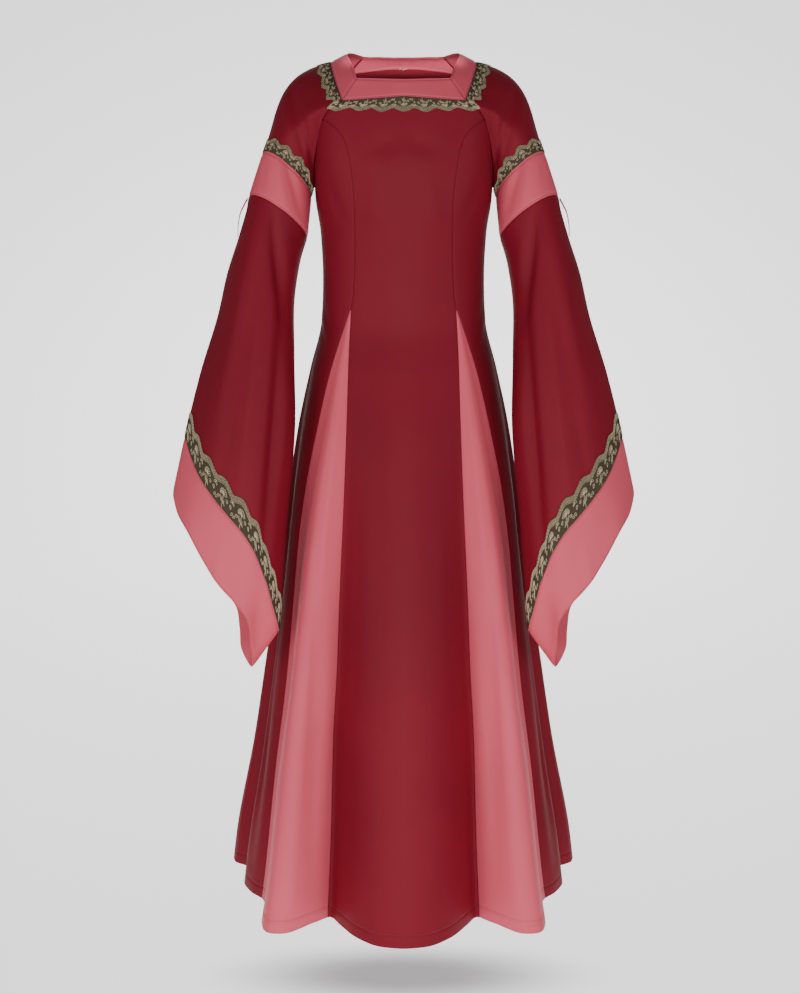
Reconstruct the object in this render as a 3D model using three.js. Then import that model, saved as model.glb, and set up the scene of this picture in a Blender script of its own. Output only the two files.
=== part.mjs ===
// Medieval dress: square banded neck, raglan sleeves with arm bands, bell sleeves with slanted
// cuffs, and a full skirt with two godets. It keeps the hollow form of a worn dress.
// Millimetres, +Z up, the front faces -Y, the origin lies midway between the shoulders.
import * as THREE from 'three';

// ---------------------------------------------------------------- driving sizes
const CLOTH = 1.6; // wall of a single satin panel
const BAND = 2.2; // wall of a faced band
const LACE = 1.0; // wall of the lace
const SEAM_GAP = 0.3; // between two pieces sewn together
const LACE_SEAT = 0.9; // lace above the cloth where its edge is sewn down
const LACE_LIFT = 1.3; // lace above the cloth at its loose edge
const HEM = -1429; // height of the level hem
const FOLD_START = -400; // the skirt's flutes begin here
const FOLD_GROWTH = 1.15; // power of the flutes' growth towards the hem
const UNDERARM = -203; // lowest point of the armhole
const FRONT_JOIN = -87; // where the front princess seam meets the raglan seam
const BACK_JOIN = -100; // where the back princess seam meets the raglan seam
const GODET_TIP = -397; // top of the rose godets
const FRONT_NECK = -57; // the neck band's front corners
const BACK_NECK = -9; // the neck band's back corners
const TIP_CUT = 1.5; // a pointed panel starts this far below the meeting of its seams
const GODET_CUT = 8; // and a godet this far, where it is wide enough for its own wall
const NECK_LACE_WIDTH = 25;
const NECK_LACE_REPEAT = 28;
const CUFF_LACE_WIDTH = 50;
const CUFF_LACE_REPEAT = 44;
const SCALLOP = 5; // depth of a lace scallop
const CORNER_LIFT = 1.7; // more lift where the lace turns a square corner
const LACE_MITRE = 1.4; // the neck lace is this much wider along its square corners

// Hem bearings of the long seams, in degrees from centre front.
const GODET_INNER_BEARING = 29.2;
const GODET_OUTER_BEARING = 57.2;
const SIDE_BEARING = 90;
const BACK_BEARING = 150;

// Horizontal sections of bodice and skirt without their folds. The plan is a superellipse.
const BODY_SECTIONS = [
  { z: 0, half: 150, front: 96, back: 92.5, power: 3.2 },
  { z: -50, half: 151, front: 105, back: 104, power: 3.2 },
  { z: -100, half: 152.5, front: 113, back: 112, power: 3.1 },
  { z: -160, half: 152.5, front: 119, back: 114, power: 2.7 },
  { z: -215, half: 150.5, front: 117, back: 109, power: 2.4 },
  { z: -278, half: 142, front: 108, back: 97, power: 2.2 },
  { z: -348, half: 139, front: 100, back: 88, power: 2.1 },
  { z: -424, half: 142, front: 102, back: 94, power: 2.1 },
  { z: -508, half: 161.5, front: 118, back: 114, power: 2.1 },
  { z: -609, half: 183, front: 143, back: 140, power: 2.05 },
  { z: -709, half: 198, front: 165, back: 162, power: 2 },
  { z: -855, half: 215.5, front: 198, back: 194, power: 2 },
  { z: -1023, half: 240.5, front: 236, back: 228, power: 2 },
  { z: -1190, half: 265, front: 271, back: 262, power: 2 },
  { z: -1369, half: 298, front: 310, back: 300, power: 2 },
  { z: HEM, half: 305, front: 322, back: 312, power: 2 },
];

// Ridges and valleys of the skirt where it meets the hem, from centre front to centre back.
const HEM_FOLDS = [
  { bearing: 0, radius: 353 },
  { bearing: 6.3, radius: 348 },
  { bearing: 13.7, radius: 325 },
  { bearing: 22.4, radius: 287 },
  { bearing: 28.6, radius: 267 },
  { bearing: 31.4, radius: 306 },
  { bearing: 34, radius: 357 },
  { bearing: 38.4, radius: 373 },
  { bearing: 43.5, radius: 354 },
  { bearing: 48.5, radius: 322 },
  { bearing: 53.3, radius: 303 },
  { bearing: 57.2, radius: 298 },
  { bearing: 63, radius: 303 },
  { bearing: 69.5, radius: 304 },
  { bearing: 77, radius: 292 },
  { bearing: 83, radius: 281 },
  { bearing: 89, radius: 312 },
  { bearing: 94, radius: 317 },
  { bearing: 101, radius: 311 },
  { bearing: 109, radius: 289 },
  { bearing: 118, radius: 317 },
  { bearing: 125, radius: 322 },
  { bearing: 134, radius: 294 },
  { bearing: 143, radius: 326 },
  { bearing: 150, radius: 322 },
  { bearing: 159, radius: 296 },
  { bearing: 168, radius: 322 },
  { bearing: 180, radius: 334 },
];

// Seams as distances out from the centre plane.
const FRONT_PRINCESS = [
  { z: FRONT_JOIN, out: 132 },
  { z: -97, out: 116 },
  { z: -111, out: 102 },
  { z: -135, out: 93 },
  { z: -178, out: 86 },
  { z: -232, out: 82 },
  { z: -286, out: 82 },
  { z: -369, out: 85 },
  { z: GODET_TIP, out: 89 },
];
const GODET_INNER = [
  { z: GODET_TIP, out: 89 },
  { z: -477, out: 93 },
  { z: -605, out: 97 },
  { z: -732, out: 102 },
  { z: -884, out: 109 },
  { z: -1004, out: 113.5 },
  { z: -1122, out: 120 },
  { z: -1283, out: 124 },
  { z: HEM, out: 130 },
];
const GODET_OUTER = [
  { z: GODET_TIP, out: 89 },
  { z: -510, out: 126 },
  { z: -607, out: 149 },
  { z: -705, out: 169 },
  { z: -805, out: 183 },
  { z: -894, out: 191 },
  { z: -1029, out: 203 },
  { z: -1201, out: 225 },
  { z: -1372, out: 243 },
  { z: HEM, out: 250.5 },
];

// Seams as turns about the vertical axis, in degrees from centre front.
const FRONT_RAGLAN = [
  { z: FRONT_NECK, turn: 46.8 },
  { z: -74, turn: 56.1 },
  { z: FRONT_JOIN, turn: 59.7 },
  { z: -100, turn: 62.1 },
  { z: -125, turn: 66.9 },
  { z: -157, turn: 74 },
  { z: -185, turn: 82.5 },
  { z: UNDERARM, turn: 90 },
];
const BACK_RAGLAN = [
  { z: BACK_NECK, turn: 132.2 },
  { z: -50, turn: 128.2 },
  { z: -90, turn: 123.9 },
  { z: -130, turn: 116.7 },
  { z: -170, turn: 105.5 },
  { z: -192, turn: 96.5 },
  { z: UNDERARM, turn: 90 },
];
const BACK_PRINCESS = [
  { z: BACK_JOIN, turn: 122.4 },
  { z: -112, turn: 129 },
  { z: -130, turn: 134 },
  { z: -160, turn: 138 },
  { z: -203, turn: 141 },
  { z: -348, turn: 140 },
  { z: -700, turn: 143 },
  { z: HEM, turn: 150 },
];

// Heights that all panels share, so that sewn edges have the same corners.
const LEVELS = [
  BACK_NECK, -30, FRONT_NECK, -72, FRONT_JOIN, FRONT_JOIN - TIP_CUT, BACK_JOIN, BACK_JOIN - TIP_CUT,
  -114, -130, -152, -178, -194, UNDERARM, -232, -286, -348, GODET_TIP, GODET_TIP - GODET_CUT,
  -450, -520, -610, -720, -850, -990, -1140, -1290, HEM,
];

// The neck band from centre front over the wearer's left shoulder to centre back.
const NECK_BAND = [
  { inner: [0, -88, -22], outer: [0, -105, -50] },
  { inner: [77, -80, -20], outer: [101, -95, -57] },
  { inner: [86, -45, 4], outer: [115, -51, -20] },
  { inner: [94, -5, 21], outer: [123, -5, 6.5] },
  { inner: [86, 33, 24], outer: [115, 43, 5] },
  { inner: [68, 65, 20], outer: [96, 86, -9] },
  { inner: [0, 70, 19], outer: [0, 94, -6] },
];

// Slanted rings of the left sleeve: centre, reach to the outer arm and reach to the front.
const ARM_BAND_TOP = { centre: [197.5, -15, -178.5], outward: [40.5, -5, 32.5], forward: [0, -52, 24] };
const ARM_BAND_END = { centre: [213, -27.5, -250], outward: [49, -2.5, 32], forward: [0, -57, 25] };

// The two edges of the slanted cuff, by the share of a turn from the inner arm over the front.
const CUFF_TOP = [
  { share: 0, at: [214, -148, -942] },
  { share: 0.06, at: [222, -178, -885] },
  { share: 0.125, at: [237, -192, -820] },
  { share: 0.19, at: [263, -195, -767] },
  { share: 0.25, at: [292, -188, -732] },
  { share: 0.31, at: [318, -176, -703] },
  { share: 0.375, at: [342, -152, -673] },
  { share: 0.44, at: [360, -122, -642] },
  { share: 0.5, at: [373, -90, -615] },
  { share: 0.57, at: [373, -60, -645] },
  { share: 0.65, at: [357, -42, -700] },
  { share: 0.75, at: [315, -38, -784] },
  { share: 0.875, at: [254, -80, -888] },
];
const CUFF_END = [
  { share: 0, at: [261, -140, -1010] },
  { share: 0.06, at: [257, -170, -970] },
  { share: 0.125, at: [258, -190, -925] },
  { share: 0.19, at: [276, -200, -888] },
  { share: 0.25, at: [309, -198, -850] },
  { share: 0.31, at: [336, -186, -811] },
  { share: 0.375, at: [364, -165, -765] },
  { share: 0.44, at: [385, -130, -740] },
  { share: 0.5, at: [397, -90, -716] },
  { share: 0.57, at: [395, -58, -742] },
  { share: 0.65, at: [379, -38, -795] },
  { share: 0.75, at: [337, -36, -878] },
  { share: 0.83, at: [295, -55, -924] },
  { share: 0.885, at: [286, -80, -957] },
  { share: 0.94, at: [281, -108, -987] },
];

// How far the hanging bell sleeve sways outward along its inner and outer edge.
const SLEEVE_SWAY = [
  { along: 0, inner: 0, outer: 0 },
  { along: 0.08, inner: 5, outer: -3 },
  { along: 0.16, inner: 6, outer: -3 },
  { along: 0.32, inner: -3, outer: -1 },
  { along: 0.5, inner: -12, outer: -5 },
  { along: 0.72, inner: -5, outer: -1 },
  { along: 1, inner: 0, outer: 0 },
];

// The strap bows off the outer arm below the arm band: its lift above the sleeve by the
// share of the sleeve's length.
const STRAP_SHARES = [0.47, 0.485, 0.5];
const STRAP_BOW = [
  { along: 0.004, lift: 0.6 },
  { along: 0.03, lift: 4 },
  { along: 0.08, lift: 8 },
  { along: 0.13, lift: 6 },
  { along: 0.18, lift: 0.6 },
];

const BURGUNDY = { color: 0x8c2433, roughness: 0.5, metalness: 0 };
const ROSE = { color: 0xd07480, roughness: 0.48, metalness: 0 };
const OLIVE_LACE = { color: 0x4a4232, roughness: 0.8, metalness: 0 };

// ---------------------------------------------------------------- tables
const RADIANS = Math.PI / 180;
const { lerp, clamp } = THREE.MathUtils;
const vector = (at) => new THREE.Vector3(...at);

// A smooth reader of one column that never overshoots the table's rows.
function reader(rows, key, column) {
  const sorted = [...rows].sort((a, b) => a[key] - b[key]);
  const at = sorted.map((row) => row[key]);
  const value = sorted.map((row) => row[column]);
  const rise = value.slice(1).map((v, i) => (v - value[i]) / (at[i + 1] - at[i]));
  const slope = value.map((_, i) => {
    const before = rise[Math.max(i - 1, 0)];
    const after = rise[Math.min(i, rise.length - 1)];
    return before * after > 0 ? (2 * before * after) / (before + after) : 0;
  });
  return (where) => {
    const x = clamp(where, at[0], at[at.length - 1]);
    const i = clamp(at.findIndex((edge) => edge > x) - 1, 0, at.length - 2);
    const last = x >= at[at.length - 1];
    const k = last ? at.length - 2 : i;
    const span = at[k + 1] - at[k];
    const t = (x - at[k]) / span;
    return hermite(value[k], value[k + 1], slope[k] * span, slope[k + 1] * span, t);
  };
}

function hermite(start, end, leave, arrive, t) {
  const t2 = t * t;
  const t3 = t2 * t;
  return (
    (2 * t3 - 3 * t2 + 1) * start + (3 * t2 - 2 * t3) * end + (t3 - 2 * t2 + t) * leave + (t3 - t2) * arrive
  );
}

function hermitePoint(start, end, leave, arrive, t) {
  const axis = (name) => hermite(start[name], end[name], leave[name], arrive[name], t);
  return new THREE.Vector3(axis('x'), axis('y'), axis('z'));
}

// ---------------------------------------------------------------- bodice and skirt
const bodyHalf = reader(BODY_SECTIONS, 'z', 'half');
const bodyFront = reader(BODY_SECTIONS, 'z', 'front');
const bodyBack = reader(BODY_SECTIONS, 'z', 'back');
const bodyPower = reader(BODY_SECTIONS, 'z', 'power');
const hemRadius = reader(HEM_FOLDS, 'bearing', 'radius');
const frontRaglan = reader(FRONT_RAGLAN, 'z', 'turn');
const backRaglan = reader(BACK_RAGLAN, 'z', 'turn');
const backPrincess = reader(BACK_PRINCESS, 'z', 'turn');
const frontPrincessOut = reader(FRONT_PRINCESS, 'z', 'out');
const godetInnerOut = reader(GODET_INNER, 'z', 'out');
const godetOuterOut = reader(GODET_OUTER, 'z', 'out');

function plainRadius(turn, z) {
  const across = Math.abs(Math.sin(turn * RADIANS)) / bodyHalf(z);
  const depth = Math.abs(turn) < 90 ? bodyFront(z) : bodyBack(z);
  const along = Math.abs(Math.cos(turn * RADIANS)) / depth;
  const power = bodyPower(z);
  return (across ** power + along ** power) ** (-1 / power);
}

function foldDepth(bearing, z) {
  const growth = clamp((FOLD_START - z) / (FOLD_START - HEM), 0, 1) ** FOLD_GROWTH;
  return growth * (hemRadius(bearing) - plainRadius(bearing, HEM));
}

// The turn at which a seam with a given hem bearing lies a given distance out.
const HALVINGS = 40;
function turnFor(out, z, bearing) {
  let low = 0;
  let high = 90;
  for (let step = 0; step < HALVINGS; step += 1) {
    const middle = (low + high) / 2;
    const reach = (plainRadius(middle, z) + foldDepth(bearing, z)) * Math.sin(middle * RADIANS);
    if (reach < out) low = middle;
    else high = middle;
  }
  return (low + high) / 2;
}

// Pairs of hem bearing and turn at one height: the seams lean, and the cloth between follows.
const seamCache = new Map();
function seamTurns(z) {
  if (!seamCache.has(z)) seamCache.set(z, findSeamTurns(z));
  return seamCache.get(z);
}

function findSeamTurns(z) {
  let inner = z >= FRONT_JOIN ? frontRaglan(z) : turnFor(frontPrincessOut(z), z, GODET_INNER_BEARING);
  let outer = inner;
  if (z < GODET_TIP) {
    inner = turnFor(godetInnerOut(z), z, GODET_INNER_BEARING);
    outer = turnFor(godetOuterOut(z), z, GODET_OUTER_BEARING);
  }
  const back = z >= BACK_JOIN ? backRaglan(z) : backPrincess(z);
  return [
    { bearing: 0, turn: 0 },
    { bearing: GODET_INNER_BEARING, turn: inner },
    { bearing: GODET_OUTER_BEARING, turn: outer },
    { bearing: SIDE_BEARING, turn: 90 },
    { bearing: BACK_BEARING, turn: back },
    { bearing: 180, turn: 180 },
  ];
}

function between(rows, from, to, where) {
  let i = rows.findIndex((row, k) => k > 0 && row[from] >= where);
  if (i < 1) i = rows.length - 1;
  const span = rows[i][from] - rows[i - 1][from];
  const share = span > 1e-9 ? (where - rows[i - 1][from]) / span : 1;
  return lerp(rows[i - 1][to], rows[i][to], share);
}

const turnOf = (bearing, z) => between(seamTurns(z), 'bearing', 'turn', bearing);
const bearingOf = (turn, z) => between(seamTurns(z), 'turn', 'bearing', turn);

// Bearings run from centre front (0) over the wearer's left (90) and back (180) to 360.
function bodyPoint(bearing, z) {
  const wrapped = ((bearing % 360) + 360) % 360;
  const side = wrapped > 180 ? -1 : 1;
  const plain = side > 0 ? wrapped : 360 - wrapped;
  const turn = turnOf(plain, z);
  const radius = plainRadius(turn, z) + foldDepth(plain, z);
  return new THREE.Vector3(
    side * radius * Math.sin(turn * RADIANS),
    -radius * Math.cos(turn * RADIANS),
    z,
  );
}

const NORMAL_TURN = 0.6; // degrees to each side that the body's normal is taken over
const NORMAL_FALL = 4; // and millimetres up and down
function bodyNormal(bearing, z) {
  const round = bodyPoint(bearing + NORMAL_TURN, z).sub(bodyPoint(bearing - NORMAL_TURN, z));
  const fall = bodyPoint(bearing, z - NORMAL_FALL).sub(bodyPoint(bearing, z + NORMAL_FALL));
  return fall.cross(round).normalize();
}

const frontSeamPoint = (z) => bodyPoint(bearingOf(frontRaglan(z), z), z);
const backSeamPoint = (z) => bodyPoint(bearingOf(backRaglan(z), z), z);

// ---------------------------------------------------------------- sheets and walls
// A sheet is a grid of points with a normal at each; its points are the cloth's outer face.
function sheet(points, { closed = false } = {}) {
  const rows = points.length;
  const columns = points[0].length;
  const pick = (i, j) => points[clamp(i, 0, rows - 1)][closed ? (j + columns) % columns : clamp(j, 0, columns - 1)];
  const normals = points.map((row, i) =>
    row.map((_, j) => {
      const across = pick(i, j + 1).clone().sub(pick(i, j - 1));
      const down = pick(i + 1, j).clone().sub(pick(i - 1, j));
      return down.cross(across).normalize();
    }),
  );
  return { points, normals, closed };
}

function slice(source, from, to) {
  return {
    points: source.points.map((row) => row.slice(from, to + 1).map((p) => p.clone())),
    normals: source.normals.map((row) => row.slice(from, to + 1).map((n) => n.clone())),
    closed: false,
  };
}

// Draws a sheet's edges in by half a seam's gap, measured square to the edge.
function inset(source, edges) {
  const old = source.points.map((row) => row.map((p) => p.clone()));
  const lastRow = old.length - 1;
  const lastColumn = old[0].length - 1;
  const draw = (at, next, before, after, i, j) => {
    const step = next.clone().sub(at);
    const tangent = after.clone().sub(before).normalize();
    const slant = Math.max(step.clone().normalize().cross(tangent).length(), 0.3);
    const reach = Math.min(SEAM_GAP / 2 / slant, 0.3 * step.length());
    source.points[i][j].add(step.setLength(reach));
  };
  const drawRow = (i, next) =>
    old[i].forEach((at, j) => {
      const before = old[i][source.closed ? (j + lastColumn) % (lastColumn + 1) : Math.max(j - 1, 0)];
      const after = old[i][source.closed ? (j + 1) % (lastColumn + 1) : Math.min(j + 1, lastColumn)];
      draw(at, old[next][j], before, after, i, j);
    });
  const drawColumn = (j, next) =>
    old.forEach((row, i) => {
      draw(row[j], row[next], old[Math.max(i - 1, 0)][j], old[Math.min(i + 1, lastRow)][j], i, j);
    });
  if (edges.includes('top')) drawRow(0, 1);
  if (edges.includes('bottom')) drawRow(lastRow, lastRow - 1);
  if (edges.includes('start')) drawColumn(0, 1);
  if (edges.includes('end')) drawColumn(lastColumn, lastColumn - 1);
  return source;
}

// A closed wall: the outer face, the inner face one thickness behind it, and the rims.
function wall(source, thickness) {
  const { points, normals, closed } = source;
  const rows = points.length;
  const columns = points[0].length;
  const position = [];
  const index = [];
  points.forEach((row) => row.forEach((p) => position.push(p.x, p.y, p.z)));
  points.forEach((row, i) =>
    row.forEach((p, j) => {
      const inner = p.clone().addScaledVector(normals[i][j], -thickness);
      position.push(inner.x, inner.y, inner.z);
    }),
  );
  const outer = (i, j) => i * columns + (j % columns);
  const inner = (i, j) => rows * columns + outer(i, j);
  const quad = (a, b, c, d) => index.push(a, b, c, a, c, d);
  const spans = closed ? columns : columns - 1;
  for (let i = 0; i < rows - 1; i += 1) {
    for (let j = 0; j < spans; j += 1) {
      quad(outer(i, j), outer(i + 1, j), outer(i + 1, j + 1), outer(i, j + 1));
      quad(inner(i, j), inner(i, j + 1), inner(i + 1, j + 1), inner(i + 1, j));
    }
  }
  for (let j = 0; j < spans; j += 1) {
    quad(outer(0, j), outer(0, j + 1), inner(0, j + 1), inner(0, j));
    quad(outer(rows - 1, j), inner(rows - 1, j), inner(rows - 1, j + 1), outer(rows - 1, j + 1));
  }
  for (let i = 0; i < rows - 1 && !closed; i += 1) {
    quad(outer(i, 0), inner(i, 0), inner(i + 1, 0), outer(i + 1, 0));
    quad(outer(i, spans), outer(i + 1, spans), inner(i + 1, spans), inner(i, spans));
  }
  const geometry = new THREE.BufferGeometry();
  geometry.setAttribute('position', new THREE.Float32BufferAttribute(position, 3));
  geometry.setIndex(index);
  if (signedVolume(geometry) < 0) turnInsideOut(geometry);
  return geometry;
}

function signedVolume(geometry) {
  const position = geometry.getAttribute('position');
  const index = geometry.getIndex();
  const corner = (k) => new THREE.Vector3().fromBufferAttribute(position, index.getX(k));
  let volume = 0;
  for (let k = 0; k < index.count; k += 3) volume += corner(k).dot(corner(k + 1).cross(corner(k + 2))) / 6;
  return volume;
}

function turnInsideOut(geometry) {
  const index = geometry.getIndex();
  for (let k = 0; k < index.count; k += 3) {
    const second = index.getX(k + 1);
    index.setX(k + 1, index.getX(k + 2));
    index.setX(k + 2, second);
  }
}

function mirrored(geometry) {
  const other = geometry.clone();
  other.scale(-1, 1, 1);
  turnInsideOut(other);
  return other;
}

// A point and normal of a sheet at fractional rows and columns, on the wall's own triangles.
function sample(source, row, column) {
  const { points, normals, closed } = source;
  const columns = points[0].length;
  const i = clamp(Math.floor(row), 0, points.length - 2);
  const wrapped = closed ? ((column % columns) + columns) % columns : clamp(column, 0, columns - 1);
  const j = closed ? Math.floor(wrapped) : clamp(Math.floor(wrapped), 0, columns - 2);
  const next = closed ? (j + 1) % columns : j + 1;
  const down = row - i;
  const right = wrapped - j;
  const mix = (grid) => {
    const at = grid[i][j].clone().multiplyScalar(1 - Math.max(down, right));
    at.addScaledVector(down > right ? grid[i + 1][j] : grid[i][next], Math.abs(down - right));
    return at.addScaledVector(grid[i + 1][next], Math.min(down, right));
  };
  return { point: mix(points), normal: mix(normals).normalize() };
}

function pathLength(path) {
  return path.slice(1).reduce((length, p, k) => length + p.distanceTo(path[k]), 0);
}

// The fractional row that lies a given distance up or down a sheet's column from one end.
function rowAtDistance(source, column, distance, fromLast) {
  const last = source.points.length - 1;
  let left = distance;
  for (let step = 0; step < last; step += 1) {
    const i = fromLast ? last - step : step;
    const next = fromLast ? i - 1 : i + 1;
    const length = sample(source, i, column).point.distanceTo(sample(source, next, column).point);
    if (left <= length) return lerp(i, next, left / length);
    left -= length;
  }
  return fromLast ? 0 : last;
}

// ---------------------------------------------------------------- neck band
const NECK_FRONT_STEPS = 5; // centre front to the corner
const NECK_SIDE_STEPS = 4; // corner to shoulder, and shoulder to back corner
const neckInner = neckCurve('inner');
const neckOuter = neckCurve('outer');

// Front, side and back run straight or in one bow between the square corners.
function neckCurve(edge) {
  const at = NECK_BAND.map((row) => vector(row[edge]));
  const side = new THREE.CatmullRomCurve3(at.slice(1, 6));
  const points = [];
  for (let k = 0; k < NECK_FRONT_STEPS; k += 1) points.push(at[0].clone().lerp(at[1], k / NECK_FRONT_STEPS));
  points.push(...side.getPoints(2 * NECK_SIDE_STEPS));
  for (let k = 1; k <= NECK_FRONT_STEPS; k += 1) points.push(at[5].clone().lerp(at[6], k / NECK_FRONT_STEPS));
  return points;
}
const FRONT_CORNER = NECK_FRONT_STEPS;
const BACK_CORNER = NECK_FRONT_STEPS + 2 * NECK_SIDE_STEPS;
const NECK_HALF = BACK_CORNER + NECK_FRONT_STEPS;

// The outer edge lies on the bodice where it meets front and back.
function onBody(point) {
  const turn = Math.atan2(point.x, -point.y) / RADIANS;
  return bodyPoint(bearingOf(turn, point.z), point.z);
}
for (let k = 0; k < FRONT_CORNER; k += 1) neckOuter[k].copy(onBody(neckOuter[k]));
for (let k = BACK_CORNER + 1; k <= NECK_HALF; k += 1) neckOuter[k].copy(onBody(neckOuter[k]));
neckOuter[FRONT_CORNER].copy(frontSeamPoint(FRONT_NECK));
neckOuter[BACK_CORNER].copy(backSeamPoint(BACK_NECK));

function fullRing(half) {
  const other = half
    .slice(1, -1)
    .reverse()
    .map((p) => new THREE.Vector3(-p.x, p.y, p.z));
  return [...half, ...other];
}

const neckSheet = sheet(
  [0, 0.5, 1].map((share) => fullRing(neckInner.map((p, k) => p.clone().lerp(neckOuter[k], share)))),
  { closed: true },
);

// ---------------------------------------------------------------- raglan sleeve
function ringPoint(ring, share) {
  const angle = share * 2 * Math.PI;
  return vector(ring.centre)
    .addScaledVector(vector(ring.outward), -Math.cos(angle))
    .addScaledVector(vector(ring.forward), Math.sin(angle));
}

const raglanLevels = (top) => LEVELS.filter((z) => z <= top && z > UNDERARM);

// The armhole of the left sleeve: up the front seam, along the neck band, down the back seam.
const armhole = [
  { key: 'underarm', at: bodyPoint(SIDE_BEARING, UNDERARM), normal: bodyNormal(SIDE_BEARING, UNDERARM) },
  ...raglanLevels(FRONT_NECK)
    .reverse()
    .map((z) => ({
      key: `front${z}`,
      at: frontSeamPoint(z),
      normal: bodyNormal(bearingOf(frontRaglan(z), z), z),
    })),
  ...[...Array(2 * NECK_SIDE_STEPS - 1).keys()].map((k) => ({
    key: `neck${FRONT_CORNER + 1 + k}`,
    at: neckOuter[FRONT_CORNER + 1 + k].clone(),
    normal: neckSheet.normals[2][FRONT_CORNER + 1 + k].clone(),
  })),
  ...raglanLevels(BACK_NECK).map((z) => ({
    key: `back${z}`,
    at: backSeamPoint(z),
    normal: bodyNormal(bearingOf(backRaglan(z), z), z),
  })),
];
const frontCornerColumn = raglanLevels(FRONT_NECK).length;
const backCornerColumn = frontCornerColumn + 2 * NECK_SIDE_STEPS;

// Share of the turn at each armhole point, by its length along the armhole.
const armholeShares = (() => {
  const lengths = [0];
  armhole.forEach((p, k) => lengths.push(lengths[k] + p.at.distanceTo(armhole[(k + 1) % armhole.length].at)));
  return lengths.slice(0, -1).map((length) => length / lengths[lengths.length - 1]);
})();

const ARM_DIRECTION = vector([0.36, -0.22, -0.91]).normalize();
const SHOULDER_DIRECTION = vector([0.98, -0.03, -0.16]).normalize();
const SHOULDER_FOCUS = 5; // how soon the round shoulder fades to front and back
const RAGLAN_ROWS = [0, 0.11, 0.23, 0.37, 0.52, 0.68, 0.84, 1];

// Leaves the armhole square to its seam and reaches the arm band along the arm.
function raglanColumn(column) {
  const count = armhole.length;
  const start = armhole[column].at;
  const before = armhole[(column + count - 1) % count].at;
  const after = armhole[(column + 1) % count].at;
  const share = armholeShares[column];
  const end = ringPoint(ARM_BAND_TOP, share);
  const along = after.clone().sub(before);
  const leave = along.cross(armhole[column].normal).normalize();
  const reach = start.distanceTo(end);
  const outward = end.clone().sub(start).normalize();
  const topness = 0.5 - 0.5 * Math.cos(share * 2 * Math.PI);
  leave.lerp(outward, lerp(0.9, 0.25, topness)).normalize();
  const shoulder = topness ** SHOULDER_FOCUS;
  leave.lerp(SHOULDER_DIRECTION, shoulder).setLength(reach * lerp(0.9, 1.58, shoulder));
  const arrive = ARM_DIRECTION.clone().setLength(reach * lerp(0.9, 1.15, topness));
  return RAGLAN_ROWS.map((t) => hermitePoint(start, end, leave, arrive, t));
}

const raglanColumns = armhole.map((_, column) => raglanColumn(column));
const raglanSheet = sheet(
  RAGLAN_ROWS.map((_, row) => raglanColumns.map((points) => points[row])),
  { closed: true },
);

// Sewn edges share one rim, halfway between the two pieces' normals.
const rims = new Map();
armhole.forEach((p, column) => {
  const shared = p.normal.clone().add(raglanSheet.normals[0][column]).normalize();
  rims.set(p.key, shared);
  raglanSheet.normals[0][column].copy(shared);
});
for (let k = 0; k <= NECK_HALF; k += 1) {
  const { x, y, z } = neckOuter[k];
  let shared = rims.get(`neck${k}`);
  if (k === FRONT_CORNER) shared = rims.get(`front${FRONT_NECK}`);
  if (k === BACK_CORNER) shared = rims.get(`back${BACK_NECK}`);
  if (!shared) {
    const turn = Math.atan2(x, -y) / RADIANS;
    shared = bodyNormal(bearingOf(turn, z), z).add(neckSheet.normals[2][k]).normalize();
    rims.set(`neck${k}`, shared);
  }
  neckSheet.normals[2][k].copy(shared);
  const opposite = (2 * NECK_HALF - k) % (2 * NECK_HALF);
  neckSheet.normals[2][opposite].set(k === opposite ? shared.x : -shared.x, shared.y, shared.z);
}

// ---------------------------------------------------------------- body panels
// Rows at the shared levels, columns spread evenly between two edges given as bearings.
function bodyPanel(levels, startEdge, endEdge, columns) {
  const points = [];
  const normals = [];
  levels.forEach((z) => {
    const start = startEdge(z);
    const end = endEdge(z);
    const bearings = [...Array(columns + 1).keys()].map((k) => lerp(start, end, k / columns));
    points.push(bearings.map((bearing) => bodyPoint(bearing, z)));
    normals.push(bearings.map((bearing) => bodyNormal(bearing, z)));
  });
  return { points, normals, closed: false };
}

const levelsBetween = (top, bottom) => LEVELS.filter((z) => z <= top && z >= bottom);
const fixedBearing = (bearing) => () => bearing;
const frontArmEdge = (z) => (z > UNDERARM ? bearingOf(frontRaglan(z), z) : SIDE_BEARING);
const backArmEdge = (z) => (z > UNDERARM ? bearingOf(backRaglan(z), z) : SIDE_BEARING);

function shareRims(source, levels, column, seam) {
  levels.forEach((z, i) => {
    const shared = rims.get(z === UNDERARM ? 'underarm' : `${seam}${z}`);
    if (shared) source.normals[i][column].copy(shared);
  });
}

function mirrorRim(shared) {
  return new THREE.Vector3(-shared.x, shared.y, shared.z);
}

// Centre panels take the neck band's outer edge as their top row.
function topRowFromNeck(source, firstKnot, direction) {
  const row = source.points[0];
  row.forEach((_, j) => {
    const k = firstKnot + direction * j;
    const knot = Math.abs(k) > NECK_HALF ? 2 * NECK_HALF - k : Math.abs(k);
    const side = k < 0 || k > NECK_HALF ? -1 : 1;
    const at = neckOuter[knot];
    const shared = knot === FRONT_CORNER ? rims.get(`front${FRONT_NECK}`) : rims.get(`neck${knot}`) ?? rims.get(`back${BACK_NECK}`);
    source.points[0][j].set(side * at.x, at.y, at.z);
    source.normals[0][j].set(side * shared.x, shared.y, shared.z);
  });
}

function frontCentre() {
  const levels = levelsBetween(FRONT_NECK, HEM);
  const columns = 2 * NECK_FRONT_STEPS;
  const panel = bodyPanel(levels, fixedBearing(-GODET_INNER_BEARING), fixedBearing(GODET_INNER_BEARING), columns);
  levels.forEach((z, i) => {
    const shared = rims.get(`front${z}`);
    if (!shared || z < FRONT_JOIN) return;
    panel.normals[i][columns].copy(shared);
    panel.normals[i][0].copy(mirrorRim(shared));
  });
  topRowFromNeck(panel, -FRONT_CORNER, 1);
  return inset(panel, ['top', 'start', 'end']);
}

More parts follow.
